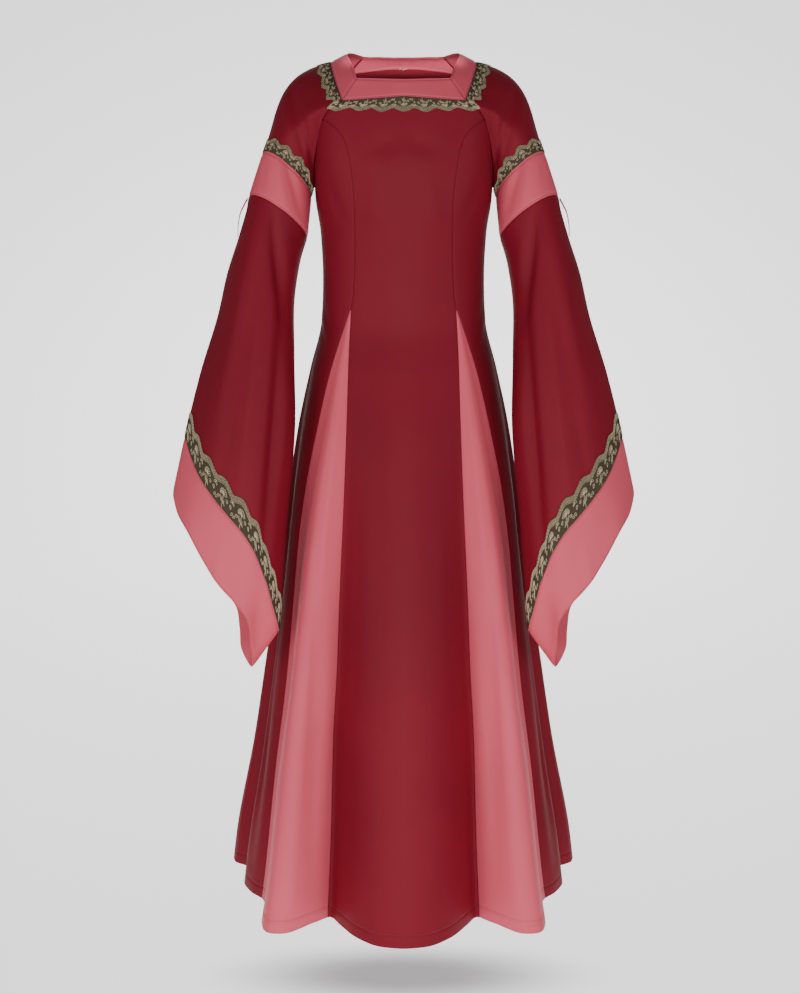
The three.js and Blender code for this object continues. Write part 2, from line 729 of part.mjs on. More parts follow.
function backCentre() {
  const levels = levelsBetween(BACK_NECK, HEM);
  const columns = 2 * NECK_FRONT_STEPS;
  const panel = bodyPanel(levels, fixedBearing(BACK_BEARING), fixedBearing(360 - BACK_BEARING), columns);
  levels.forEach((z, i) => {
    const shared = rims.get(`back${z}`);
    if (!shared || z < BACK_JOIN) return;
    panel.normals[i][0].copy(shared);
    panel.normals[i][columns].copy(mirrorRim(shared));
  });
  topRowFromNeck(panel, BACK_CORNER, 1);
  return inset(panel, ['top', 'start', 'end']);
}

function frontSide() {
  const levels = levelsBetween(FRONT_JOIN - TIP_CUT, HEM);
  const panel = bodyPanel(levels, fixedBearing(GODET_OUTER_BEARING), frontArmEdge, 5);
  shareRims(panel, levels, 5, 'front');
  return inset(panel, ['start', 'end']);
}

function backSide() {
  const levels = levelsBetween(BACK_JOIN - TIP_CUT, HEM);
  const panel = bodyPanel(levels, backArmEdge, fixedBearing(BACK_BEARING), 9);
  shareRims(panel, levels, 0, 'back');
  return inset(panel, ['start', 'end']);
}

function frontGodet() {
  const levels = levelsBetween(GODET_TIP - GODET_CUT, HEM);
  const panel = bodyPanel(levels, fixedBearing(GODET_INNER_BEARING), fixedBearing(GODET_OUTER_BEARING), 8);
  return inset(panel, ['start', 'end']);
}

// ---------------------------------------------------------------- lower sleeve and cuff
const SLEEVE_COLUMNS = 28;
const LOWER_ROWS = [0, 0.08, 0.18, 0.3, 0.44, 0.58, 0.72, 0.86, 1];
const cuffTop = closedCurve(CUFF_TOP);
const cuffEnd = closedCurve(CUFF_END);
const swayInner = reader(SLEEVE_SWAY, 'along', 'inner');
const swayOuter = reader(SLEEVE_SWAY, 'along', 'outer');

// A periodic curve through the rows, read by their share of the turn.
function closedCurve(rows) {
  const last = { share: rows[0].share + 1, at: rows[0].at };
  const first = { share: rows[rows.length - 1].share - 1, at: rows[rows.length - 1].at };
  const second = { share: rows[1].share + 1, at: rows[1].at };
  const all = [first, ...rows, last, second];
  return (share) => {
    const wrapped = ((share % 1) + 1) % 1;
    let i = all.findIndex((row, k) => k > 1 && row.share >= wrapped);
    i = Math.max(i, 2);
    const [before, start, end, after] = [all[i - 2], all[i - 1], all[i], all[i + 1] ?? second];
    const span = end.share - start.share;
    const leave = vector(end.at).sub(vector(before.at)).multiplyScalar(span / (end.share - before.share));
    const arrive = vector(after.at).sub(vector(start.at)).multiplyScalar(span / (after.share - start.share));
    return hermitePoint(vector(start.at), vector(end.at), leave, arrive, (wrapped - start.share) / span);
  };
}

function lowerSleevePoint(share, along) {
  const start = ringPoint(ARM_BAND_END, share);
  const end = cuffTop(share);
  const reach = start.distanceTo(end);
  const straight = end.clone().sub(start).normalize();
  const leave = ARM_DIRECTION.clone().lerp(straight, 0.6).setLength(reach * 0.8);
  const arrive = straight.clone().lerp(vector([0.05, -0.1, -1]), 0.3).setLength(reach * 0.8);
  const point = hermitePoint(start, end, leave, arrive, along);
  const innerness = 0.5 + 0.5 * Math.cos(share * 2 * Math.PI);
  point.x += lerp(swayOuter(along), swayInner(along), innerness);
  return point;
}

const shares = [...Array(SLEEVE_COLUMNS).keys()].map((k) => k / SLEEVE_COLUMNS);
const armBandSheet = sheet(
  [0, 0.5, 1].map((t) => shares.map((s) => ringPoint(ARM_BAND_TOP, s).lerp(ringPoint(ARM_BAND_END, s), t))),
  { closed: true },
);
const lowerSheet = sheet(
  LOWER_ROWS.map((t) => shares.map((s) => lowerSleevePoint(s, t))),
  { closed: true },
);
const cuffSheet = sheet(
  [0, 0.5, 1].map((t) => shares.map((s) => cuffTop(s).lerp(cuffEnd(s), t))),
  { closed: true },
);

// Two rings sewn together share the rim halfway between their normals.
function shareRing(upper, lower) {
  upper.normals[upper.normals.length - 1].forEach((normal, j) => {
    normal.add(lower.normals[0][j]).normalize();
    lower.normals[0][j].copy(normal);
  });
}
shareRing(armBandSheet, lowerSheet);
shareRing(lowerSheet, cuffSheet);

// ---------------------------------------------------------------- lace
// A strip laid on a sheet: place gives the row and column at a share along and a depth across.
function laceStrip(source, place, columns, closed, depths) {
  const count = closed ? columns : columns + 1;
  const points = depths.map(() => []);
  const normals = depths.map(() => []);
  for (let k = 0; k < count; k += 1) {
    depths.forEach((depth, i) => {
      const { row, column, extra = 0 } = place(k / columns, depth, k);
      const { point, normal } = sample(source, row, column);
      const lift = lerp(LACE_SEAT, LACE_LIFT, Math.min(2.5 * depth, 1)) + extra;
      points[i].push(point.addScaledVector(normal, lift + LACE));
      normals[i].push(normal);
    });
  }
  return { points, normals, closed };
}

// Scallops point away from the band; four columns make one repeat.
const SCALLOP_COLUMNS = 4;
const SCALLOP_REACH = [-1, -0.15, 0, -0.15];
const scallopWidth = (width, k) => width + SCALLOP * SCALLOP_REACH[k % SCALLOP_COLUMNS];

const NECK_DEPTHS = [0, 0.35, 0.7, 1];
const CUFF_DEPTHS = [0, 1];
const LACE_LIMIT = 0.6; // a sleeve's lace leaves this share of a short underarm bare

function sleeveLace(source, width, repeat, depths) {
  const columns = source.points[0].length;
  const last = source.points.length - 1;
  const repeats = Math.round(pathLength([...source.points[last], source.points[last][0]]) / repeat);
  const place = (along, depth, k) => {
    const column = along * columns;
    const near = rowAtDistance(source, column, LACE_SEAT, true);
    const far = rowAtDistance(source, column, scallopWidth(width, k), true);
    return { row: lerp(near, Math.max(far, LACE_LIMIT * last), depth), column };
  };
  return laceStrip(source, place, repeats * SCALLOP_COLUMNS, true, depths);
}

// The strip on a centre panel: from its top edge down, out to the raglan seams.
function centrePanelLace(source) {
  const columns = source.points[0].length - 1;
  const repeats = Math.round(pathLength(source.points[1]) / NECK_LACE_REPEAT);
  const place = (along, depth, k) => {
    const column = along * columns;
    const corner = Math.abs(2 * along - 1) ** 6;
    const width = scallopWidth(NECK_LACE_WIDTH, k) * lerp(1, LACE_MITRE, corner);
    return { row: rowAtDistance(source, column, width * depth, false), column };
  };
  return inset(laceStrip(source, place, repeats * SCALLOP_COLUMNS, false, NECK_DEPTHS), ['start', 'end']);
}

// The fractional column at a distance along a sheet's top row.
function columnAtDistance(source, from, distance, direction) {
  const row = source.points[0];
  let left = distance;
  let column = from;
  while (left > 0) {
    const length = row[column].distanceTo(row[column + direction]);
    if (left <= length) return column + (direction * left) / length;
    left -= length;
    column += direction;
  }
  return column;
}

// The strip on the raglan sleeve: along the neck band, its ends run down the raglan seams.
function shoulderLace(source) {
  const bandEdge = source.points[0].slice(frontCornerColumn - 1, backCornerColumn + 2);
  const repeats = Math.round(pathLength(bandEdge) / NECK_LACE_REPEAT);
  const endShare = 0.22;
  const seamReach = scallopWidth(NECK_LACE_WIDTH, 0) * LACE_MITRE;
  const place = (along, depth, k) => {
    const start = columnAtDistance(source, frontCornerColumn, seamReach * depth, -1);
    const end = columnAtDistance(source, backCornerColumn, seamReach * depth, 1);
    const column = lerp(start, end, along);
    const fromSeam = clamp(Math.min(along, 1 - along) / endShare, 0, 1);
    const width = scallopWidth(NECK_LACE_WIDTH, k) * depth * Math.sin((fromSeam * Math.PI) / 2);
    return { row: rowAtDistance(source, column, width, false), column, extra: CORNER_LIFT * (1 - fromSeam) };
  };
  return inset(laceStrip(source, place, repeats * SCALLOP_COLUMNS, false, NECK_DEPTHS), ['start', 'end']);
}

// ---------------------------------------------------------------- strap
const strapLift = reader(STRAP_BOW, 'along', 'lift');
const STRAP_STEPS = 8;

function strap() {
  const [first, last] = [STRAP_BOW[0].along, STRAP_BOW[STRAP_BOW.length - 1].along];
  const points = [];
  const normals = [];
  for (let k = 0; k <= STRAP_STEPS; k += 1) {
    const along = lerp(first, last, k / STRAP_STEPS);
    const after = LOWER_ROWS.findIndex((t) => t > along);
    const row = after - 1 + (along - LOWER_ROWS[after - 1]) / (LOWER_ROWS[after] - LOWER_ROWS[after - 1]);
    const across = STRAP_SHARES.map((share) => sample(lowerSheet, row, share * SLEEVE_COLUMNS));
    points.push(across.map(({ point, normal }) => point.addScaledVector(normal, strapLift(along) + CLOTH)));
    normals.push(across.map(({ normal }) => normal));
  }
  return { points, normals, closed: false };
}

// ---------------------------------------------------------------- the dress
const dress = new THREE.Group();

function add(name, geometry, finish) {
  const mesh = new THREE.Mesh(geometry, new THREE.MeshStandardMaterial(finish));
  mesh.name = name;
  dress.add(mesh);
}

function addPair(name, geometry, finish) {
  add(`${name}_left`, geometry, finish);
  add(`${name}_right`, mirrored(geometry), finish);
}

const neckColumns = 2 * NECK_HALF;
const neckRing = {
  points: neckSheet.points.map((row) => [...row, row[0]]),
  normals: neckSheet.normals.map((row) => [...row, row[0]]),
};
const neckFront = {
  points: neckSheet.points.map((row) => [...row.slice(neckColumns - FRONT_CORNER), ...row.slice(0, FRONT_CORNER + 1)]),
  normals: neckSheet.normals.map((row) => [...row.slice(neckColumns - FRONT_CORNER), ...row.slice(0, FRONT_CORNER + 1)]),
};
const allButInner = ['bottom', 'start', 'end'];
const frontBand = slice(neckFront, 0, 2 * FRONT_CORNER);
add('neck_band_front', wall(inset(frontBand, allButInner), BAND), ROSE);
const backBand = slice(neckRing, BACK_CORNER, neckColumns - BACK_CORNER);
add('neck_band_back', wall(inset(backBand, allButInner), BAND), ROSE);
const sideBand = slice(neckRing, FRONT_CORNER, BACK_CORNER);
addPair('neck_band', wall(inset(sideBand, allButInner), BAND), ROSE);

const frontCentrePanel = frontCentre();
const backCentrePanel = backCentre();
add('front_centre_panel', wall(frontCentrePanel, CLOTH), BURGUNDY);
add('back_centre_panel', wall(backCentrePanel, CLOTH), BURGUNDY);
addPair('front_side_panel', wall(frontSide(), CLOTH), BURGUNDY);
addPair('back_side_panel', wall(backSide(), CLOTH), BURGUNDY);
addPair('front_godet', wall(frontGodet(), CLOTH), ROSE);

add('neck_lace_front', wall(centrePanelLace(frontCentrePanel), LACE), OLIVE_LACE);
add('neck_lace_back', wall(centrePanelLace(backCentrePanel), LACE), OLIVE_LACE);
addPair('neck_lace', wall(shoulderLace(raglanSheet), LACE), OLIVE_LACE);
addPair('arm_lace', wall(sleeveLace(raglanSheet, NECK_LACE_WIDTH, NECK_LACE_REPEAT, NECK_DEPTHS), LACE), OLIVE_LACE);
addPair('cuff_lace', wall(sleeveLace(lowerSheet, CUFF_LACE_WIDTH, CUFF_LACE_REPEAT, CUFF_DEPTHS), LACE), OLIVE_LACE);

addPair('raglan_sleeve', wall(inset(raglanSheet, ['top', 'bottom']), CLOTH), BURGUNDY);
addPair('arm_band', wall(inset(armBandSheet, ['top', 'bottom']), BAND), ROSE);
addPair('lower_sleeve', wall(inset(lowerSheet, ['top', 'bottom']), CLOTH), BURGUNDY);
addPair('cuff_band', wall(inset(cuffSheet, ['top']), BAND), ROSE);
addPair('sleeve_strap', wall(strap(), CLOTH), ROSE);

export default dress;
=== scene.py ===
import math
from functools import cache

import bpy
import numpy as np
from bpy.props import FloatProperty, FloatVectorProperty, PointerProperty
from bpy.types import NodeSocket, Operator, Panel, PropertyGroup
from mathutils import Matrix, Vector


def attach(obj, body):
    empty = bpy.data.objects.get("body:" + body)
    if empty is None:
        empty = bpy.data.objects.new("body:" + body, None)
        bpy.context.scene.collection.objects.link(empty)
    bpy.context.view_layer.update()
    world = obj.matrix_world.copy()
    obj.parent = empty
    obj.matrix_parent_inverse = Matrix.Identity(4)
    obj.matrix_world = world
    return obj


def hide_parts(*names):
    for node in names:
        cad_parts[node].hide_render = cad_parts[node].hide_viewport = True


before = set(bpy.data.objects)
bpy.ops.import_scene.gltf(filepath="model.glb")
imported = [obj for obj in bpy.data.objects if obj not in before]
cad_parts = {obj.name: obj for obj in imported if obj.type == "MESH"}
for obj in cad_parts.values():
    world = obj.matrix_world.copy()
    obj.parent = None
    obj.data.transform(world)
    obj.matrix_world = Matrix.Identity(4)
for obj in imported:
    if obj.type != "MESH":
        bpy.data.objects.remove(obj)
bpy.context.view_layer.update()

bl_info = {
    "name": "Medieval Dress",
    "version": (1, 0, 0),
    "blender": (4, 5, 0),
    "location": "3D View > Sidebar > Dress",
    "description": "Builds a worn-form satin dress with lace, bell sleeves and godets",
    "category": "Add Mesh",
}

MM = 0.001
RADIANS = math.pi / 180

# ---------------------------------------------------------------- sizes, in millimetres
HEM = -1429
FOLD_START = -400
FOLD_GROWTH = 1.15
UNDERARM = -203
FRONT_JOIN = -87
BACK_JOIN = -100
GODET_TIP = -397
FRONT_NECK = -57
BACK_NECK = -9
GODET_INNER = 29.2  # hem bearings of the long seams, in degrees from centre front
GODET_OUTER = 57.2
SIDE = 90
BACK = 150
SEAM_GAP = 0.06
SATIN = 1.1  # visual wall of one layer of satin
FACED = 1.9  # and of a faced band
NET = 0.45  # and of the lace's net
HEM_TURN = 20  # the hem is turned up this far and stitched
TOPSTITCH = 3  # topstitching of a band, in from its edge

# z, half width, front depth, back depth, power of the superellipse
BODY_SECTIONS = [
    (0, 150, 96, 92.5, 3.2),
    (-50, 151, 105, 104, 3.2),
    (-100, 152.5, 113, 112, 3.1),
    (-160, 152.5, 119, 114, 2.7),
    (-215, 150.5, 117, 109, 2.4),
    (-278, 142, 108, 97, 2.2),
    (-348, 139, 100, 88, 2.1),
    (-424, 142, 102, 94, 2.1),
    (-508, 161.5, 118, 114, 2.1),
    (-609, 183, 143, 140, 2.05),
    (-709, 198, 165, 162, 2),
    (-855, 215.5, 198, 194, 2),
    (-1023, 240.5, 236, 228, 2),
    (-1190, 265, 271, 262, 2),
    (-1369, 298, 310, 300, 2),
    (HEM, 305, 322, 312, 2),
]
# bearing, radius of the skirt's flutes at the hem
HEM_FOLDS = [
    (0, 353), (6.3, 348), (13.7, 325), (22.4, 287), (28.6, 267), (31.4, 306), (34, 357),
    (38.4, 373), (43.5, 354), (48.5, 322), (53.3, 303), (57.2, 298), (63, 303), (69.5, 304),
    (77, 292), (83, 281), (89, 312), (94, 317), (101, 311), (109, 289), (118, 317), (125, 322),
    (134, 294), (143, 326), (150, 322), (159, 296), (168, 322), (180, 334),
]
# z, distance out from the centre plane
FRONT_PRINCESS = [
    (FRONT_JOIN, 132), (-97, 116), (-111, 102), (-135, 93), (-178, 86), (-232, 82), (-286, 82),
    (-369, 85), (GODET_TIP, 89),
]
INNER_SEAM = [
    (GODET_TIP, 89), (-477, 93), (-605, 97), (-732, 102), (-884, 109), (-1004, 113.5),
    (-1122, 120), (-1283, 124), (HEM, 130),
]
OUTER_SEAM = [
    (GODET_TIP, 89), (-510, 126), (-607, 149), (-705, 169), (-805, 183), (-894, 191),
    (-1029, 203), (-1201, 225), (-1372, 243), (HEM, 250.5),
]
# z, turn about the vertical axis in degrees from centre front
FRONT_RAGLAN = [
    (FRONT_NECK, 46.8), (-74, 56.1), (FRONT_JOIN, 59.7), (-100, 62.1), (-125, 66.9), (-157, 74),
    (-185, 82.5), (UNDERARM, 90),
]
BACK_RAGLAN = [
    (BACK_NECK, 132.2), (-50, 128.2), (-90, 123.9), (-130, 116.7), (-170, 105.5), (-192, 96.5),
    (UNDERARM, 90),
]
BACK_PRINCESS = [
    (BACK_JOIN, 122.4), (-112, 129), (-130, 134), (-160, 138), (-203, 141), (-348, 140),
    (-700, 143), (HEM, 150),
]
# inner and outer edge of the neck band, centre front over the left shoulder to centre back
NECK_BAND = [
    ((0, -88, -22), (0, -105, -50)),
    ((77, -80, -20), (101, -95, -57)),
    ((86, -45, 4), (115, -51, -20)),
    ((94, -5, 21), (123, -5, 6.5)),
    ((86, 33, 24), (115, 43, 5)),
    ((68, 65, 20), (96, 86, -9)),
    ((0, 70, 19), (0, 93, 1)),
]
# centre, reach to the outer arm, reach to the front
ARM_BAND_TOP = ((197.5, -15, -178.5), (40.5, -5, 32.5), (0, -52, 24))
ARM_BAND_END = ((213, -27.5, -250), (49, -2.5, 32), (0, -57, 25))
# share of a turn from the inner arm over the front, x, y, z
CUFF_TOP = [
    (0, 214, -148, -942), (0.06, 222, -178, -885), (0.125, 237, -192, -820),
    (0.19, 263, -195, -767), (0.25, 292, -188, -732), (0.31, 318, -176, -703),
    (0.375, 342, -152, -673), (0.44, 360, -122, -642), (0.5, 373, -90, -615),
    (0.57, 373, -60, -645), (0.65, 357, -42, -700), (0.75, 315, -38, -784),
    (0.875, 254, -80, -888),
]
CUFF_END = [
    (0, 261, -140, -1010), (0.06, 257, -170, -970), (0.125, 258, -190, -925),
    (0.19, 276, -200, -888), (0.25, 309, -198, -850), (0.31, 336, -186, -811),
    (0.375, 364, -165, -765), (0.44, 385, -130, -740), (0.5, 397, -90, -716),
    (0.57, 395, -58, -742), (0.65, 379, -38, -795), (0.75, 337, -36, -878),
    (0.83, 295, -55, -924), (0.885, 286, -80, -957), (0.94, 281, -108, -987),
]
# share of the bell sleeve's length, sway of its inner edge, sway of its outer edge
SLEEVE_SWAY = [
    (0, 0, 0), (0.08, 5, -3), (0.16, 6, -3), (0.32, -3, -1), (0.5, -12, -5), (0.72, -5, -1), (1, 0, 0),
]
# share of the bell sleeve's length, lift of the strap off it
STRAP_BOW = [(0.004, 0.8), (0.03, 4), (0.08, 8), (0.13, 6), (0.18, 0.8)]
STRAP_SHARES = (0.47, 0.5)
STRAP_CLEAR = 0.3


# ---------------------------------------------------------------- forms
def hermite(start, end, leave, arrive, t):
    t2 = t * t
    t3 = t2 * t
    places = (2 * t3 - 3 * t2 + 1) * start + (3 * t2 - 2 * t3) * end
    return places + (t3 - 2 * t2 + t) * leave + (t3 - t2) * arrive


def reader(rows, column=1):
    """A smooth reader of one column that never overshoots the table's rows."""
    table = np.array(sorted(rows), float)
    at = table[:, 0]
    value = table[:, column]
    rise = np.diff(value) / np.diff(at)
    before = np.append(rise[0], rise)
    after = np.append(rise, rise[-1])
    total = before + after
    slope = np.where(before * after > 0, 2 * before * after / np.where(total == 0, 1, total), 0)

    def read(where):
        x = np.clip(where, at[0], at[-1])
        i = np.clip(np.searchsorted(at, x, side="right") - 1, 0, len(at) - 2)
        span = at[i + 1] - at[i]
        return hermite(value[i], value[i + 1], slope[i] * span, slope[i + 1] * span, (x - at[i]) / span)

    return read


body_half = reader(BODY_SECTIONS, 1)
body_front = reader(BODY_SECTIONS, 2)
body_back = reader(BODY_SECTIONS, 3)
body_power = reader(BODY_SECTIONS, 4)
hem_radius = reader(HEM_FOLDS)
front_raglan = reader(FRONT_RAGLAN)
back_raglan = reader(BACK_RAGLAN)
back_princess = reader(BACK_PRINCESS)
princess_out = reader(FRONT_PRINCESS)
inner_out = reader(INNER_SEAM)
outer_out = reader(OUTER_SEAM)


def plain_radius(turn, z):
    """Reach of the body's section at a turn, without flutes."""
    across = np.abs(np.sin(turn * RADIANS)) / body_half(z)
    depth = np.where(np.abs(turn) < 90, body_front(z), body_back(z))
    along = np.abs(np.cos(turn * RADIANS)) / depth
    power = body_power(z)
    return (across**power + along**power) ** (-1 / power)


def fold_depth(bearing, z):
    """How far a flute stands out at a bearing; flutes grow from the hip to the hem."""
    growth = np.clip((FOLD_START - z) / (FOLD_START - HEM), 0, 1) ** FOLD_GROWTH
    return growth * (hem_radius(bearing) - plain_radius(bearing, HEM))


def turn_for(out, z, bearing):
    """The turn at which a seam with a given hem bearing lies a given distance out."""
    low = np.zeros_like(z)
    high = np.full_like(z, 90.0)
    for _ in range(30):
        middle = (low + high) / 2
        reach = (plain_radius(middle, z) + fold_depth(bearing, z)) * np.sin(middle * RADIANS)
        low = np.where(reach < out, middle, low)
        high = np.where(reach < out, high, middle)
    return (low + high) / 2


def seam_turns(z):
    """Turns of the godet's or side panel's inner and outer seams and of the back seam."""
    bodice = np.where(z >= FRONT_JOIN, front_raglan(z), turn_for(princess_out(z), z, GODET_INNER))
    skirt = z < GODET_TIP
    inner = np.where(skirt, turn_for(inner_out(z), z, GODET_INNER), bodice)
    outer = np.where(skirt, turn_for(outer_out(z), z, GODET_OUTER), bodice)
    back = np.where(z >= BACK_JOIN, back_raglan(z), back_princess(z))
    return inner, outer, back


def body_points(bearing, z):
    """Points of bodice and skirt. Bearings run from centre front (0) over the left (90) to 360."""
    z = np.broadcast_to(np.asarray(z, float), np.shape(bearing))
    wrapped = np.mod(bearing, 360)
    side = np.where(wrapped > 180, -1, 1)
    plain = np.where(wrapped > 180, 360 - wrapped, wrapped)
    inner, outer, back = seam_turns(z)
    turn = np.select(
        [plain <= GODET_INNER, plain <= GODET_OUTER, plain <= SIDE, plain <= BACK],
        [
            inner * plain / GODET_INNER,
            inner + (outer - inner) * (plain - GODET_INNER) / (GODET_OUTER - GODET_INNER),
            outer + (90 - outer) * (plain - GODET_OUTER) / (SIDE - GODET_OUTER),
            90 + (back - 90) * (plain - SIDE) / (BACK - SIDE),
        ],
        back + (180 - back) * (plain - BACK) / (180 - BACK),
    )
    radius = plain_radius(turn, z) + fold_depth(plain, z)
    return np.stack([side * radius * np.sin(turn * RADIANS), -radius * np.cos(turn * RADIANS), z], -1)


def turned_points(turn, z):
    """Points of the bodice, above the flutes, by their turn."""
    radius = plain_radius(turn, z)
    return np.stack([radius * np.sin(turn * RADIANS), -radius * np.cos(turn * RADIANS), z], -1)


def front_arm_bearing(z):
    """Bearing of the front side panel's edge: the raglan seam above, the side seam below."""
    outer = seam_turns(z)[1]
    share = (front_raglan(z) - outer) / np.maximum(90 - outer, 1e-6)
    return np.where(z > UNDERARM, GODET_OUTER + share * (SIDE - GODET_OUTER), SIDE)


def back_arm_bearing(z):
    """The same for the back side panel."""
    back = seam_turns(z)[2]
    share = (back_raglan(z) - 90) / np.maximum(back - 90, 1e-6)
    return np.where(z > UNDERARM, SIDE + share * (BACK - SIDE), SIDE)


def smooth_chain(points, steps):
    """A centripetal curve through the points, with a number of steps for each span."""
    p = np.array(points, float)
    p = np.vstack([2 * p[0] - p[1], p, 2 * p[-1] - p[-2]])
    out = []
    for k in range(1, len(p) - 2):
        d = np.sqrt(np.linalg.norm(np.diff(p[k - 1 : k + 3], axis=0), axis=1))
        leave = (p[k] - p[k - 1]) / d[0] - (p[k + 1] - p[k - 1]) / (d[0] + d[1]) + (p[k + 1] - p[k]) / d[1]
        arrive = (p[k + 1] - p[k]) / d[1] - (p[k + 2] - p[k]) / (d[1] + d[2]) + (p[k + 2] - p[k + 1]) / d[2]
        t = np.linspace(0, 1, steps, endpoint=False)[:, None]
        out.append(hermite(p[k], p[k + 1], leave * d[1], arrive * d[1], t))
    out.append(p[-2][None])
    return np.vstack(out)


def on_body(points):
    """The same bearings on the bodice's face."""
    turn = np.degrees(np.arctan2(points[:, 0], -points[:, 1]))
    return turned_points(turn, points[:, 2])


def neck_edge(edge, part, steps=24):
    """Inner (0) or outer (1) edge of the band's front, side or back, on the wearer's left."""
    rows = np.array([row[edge] for row in NECK_BAND], float)
    if part == "side":
        return smooth_chain(rows[1:6], steps // 4)
    ends = rows[:2] if part == "front" else rows[5:]
    share = np.linspace(0, 1, steps + 1)[:, None]
    points = ends[0] + (ends[1] - ends[0]) * share
    if part == "back":
        points[:, 2] = ends[0, 2] + (ends[1, 2] - ends[0, 2]) * np.sin(share[:, 0] * math.pi / 2)
    return on_body(points) if edge else points


def ring_point(ring, share):
    """Points of an arm band's edge by share of the turn from the inner arm over the front."""
    centre, outward, forward = (np.array(row, float) for row in ring)
    angle = np.asarray(share)[..., None] * 2 * math.pi
    return centre - outward * np.cos(angle) + forward * np.sin(angle)


def periodic(rows):
    """A periodic curve through the rows, read by their share of the turn."""
    table = np.array(rows, float)
    count = len(table)
    at = np.concatenate([table[:, 0] - 1, table[:, 0], table[:, 0] + 1])
    value = np.vstack([table[:, 1:]] * 3)
    slope = (value[2:] - value[:-2]) / (at[2:] - at[:-2])[:, None]

    def read(share):
        x = np.mod(np.asarray(share, float), 1)
        i = np.clip(np.searchsorted(at, x, side="right") - 1, count - 1, 2 * count - 1)
        span = (at[i + 1] - at[i])[..., None]
        t = (x - at[i])[..., None] / span
        return hermite(value[i], value[i + 1], slope[i - 1] * span, slope[i] * span, t)

    return read


cuff_top = periodic(CUFF_TOP)
cuff_end = periodic(CUFF_END)
sway_inner = reader(SLEEVE_SWAY, 1)
sway_outer = reader(SLEEVE_SWAY, 2)


def unit(v):
    return v / np.linalg.norm(v, axis=-1, keepdims=True)


ARM = unit(np.array([0.36, -0.22, -0.91]))  # the way the arm points
SHOULDER = unit(np.array([0.98, -0.03, -0.16]))  # the way the sleeve leaves the shoulder's top
FALL = unit(np.array([0.05, -0.1, -1]))  # the way the free cloth hangs
BELL_PULL = 0.8  # how stiffly the bell sleeve keeps its direction at both ends
BELL_LEAN = 0.6  # share of the way from the arm's direction to the straight one, at its top
BELL_FALL = 0.3  # and from the straight one to the fall of the cloth, at its end


def lower_sleeve(share, along):
    """The bell sleeve by share of the turn and share of its length, both of one shape."""
    start = ring_point(ARM_BAND_END, share)
    end = cuff_top(share)
    reach = np.linalg.norm(end - start, axis=-1, keepdims=True)
    straight = unit(end - start)
    leave = unit(ARM + (straight - ARM) * BELL_LEAN) * reach * BELL_PULL
    arrive = unit(straight + (FALL - straight) * BELL_FALL) * reach * BELL_PULL
    point = hermite(start, end, leave, arrive, along[..., None])
    innerness = 0.5 + 0.5 * np.cos(share * 2 * math.pi)
    point[..., 0] += sway_outer(along) + (sway_inner(along) - sway_outer(along)) * innerness
    return point


# ---------------------------------------------------------------- raglan sleeve
RAGLAN_FRONT = (-194, -178, -152, -130, -114, -101.5, -100, -88.5, -87, -72, -57)
RAGLAN_BACK = (-9, -30, -57, -72, -87, -88.5, -100, -101.5, -114, -130, -152, -178, -194)


TURN_STEP = 0.6  # steps, in degrees and millimetres, over which the body's slope is read
DROP_STEP = 4


def armhole():
    """Corners of the armhole and its outward normals, from the underarm up the front seam."""
    front = np.array(RAGLAN_FRONT, float)
    back = np.array(RAGLAN_BACK, float)
    neck = smooth_chain([row[1] for row in NECK_BAND[1:6]], 2)[1:-1]
    points = [turned_points(np.array([90.0]), np.array([float(UNDERARM)]))]
    points += [turned_points(front_raglan(front), front), neck, turned_points(back_raglan(back), back)]
    return np.vstack(points), len(front), len(front) + len(neck) + 1


def body_normals(points):
    """The way the bodice faces at the armhole."""
    turn = np.degrees(np.arctan2(points[:, 0], -points[:, 1]))
    z = points[:, 2]
    across = turned_points(turn + TURN_STEP, z) - turned_points(turn - TURN_STEP, z)
    down = turned_points(turn, z - DROP_STEP) - turned_points(turn, z + DROP_STEP)
    return unit(np.cross(down, across))


def neck_band_normals():
    """The way the neck band faces where the sleeve meets it."""
    inner = smooth_chain([row[0] for row in NECK_BAND[1:6]], 2)
    outer = smooth_chain([row[1] for row in NECK_BAND[1:6]], 2)
    return unit(np.cross((outer - inner)[1:-1], (outer[2:] - outer[:-2])))


def smooth_round(values, at, where):
    """Reads a closed run of values at new places with a smooth periodic curve."""
    rows = np.column_stack([at, values.reshape(len(at), -1)])
    return periodic(rows)(where).reshape((len(where),) + values.shape[1:])


NEAREST_COLUMNS = 0.0012  # share of the armhole below which two columns are one
# at the underarm and at the shoulder's top: lean towards the arm, stiffness at start and end
RAGLAN_LEAN = (0.9, 0.25)
RAGLAN_LEAVE = (0.9, 1.58)
RAGLAN_ARRIVE = (0.9, 1.15)


def between(pair, share):
    return pair[0] + (pair[1] - pair[0]) * share


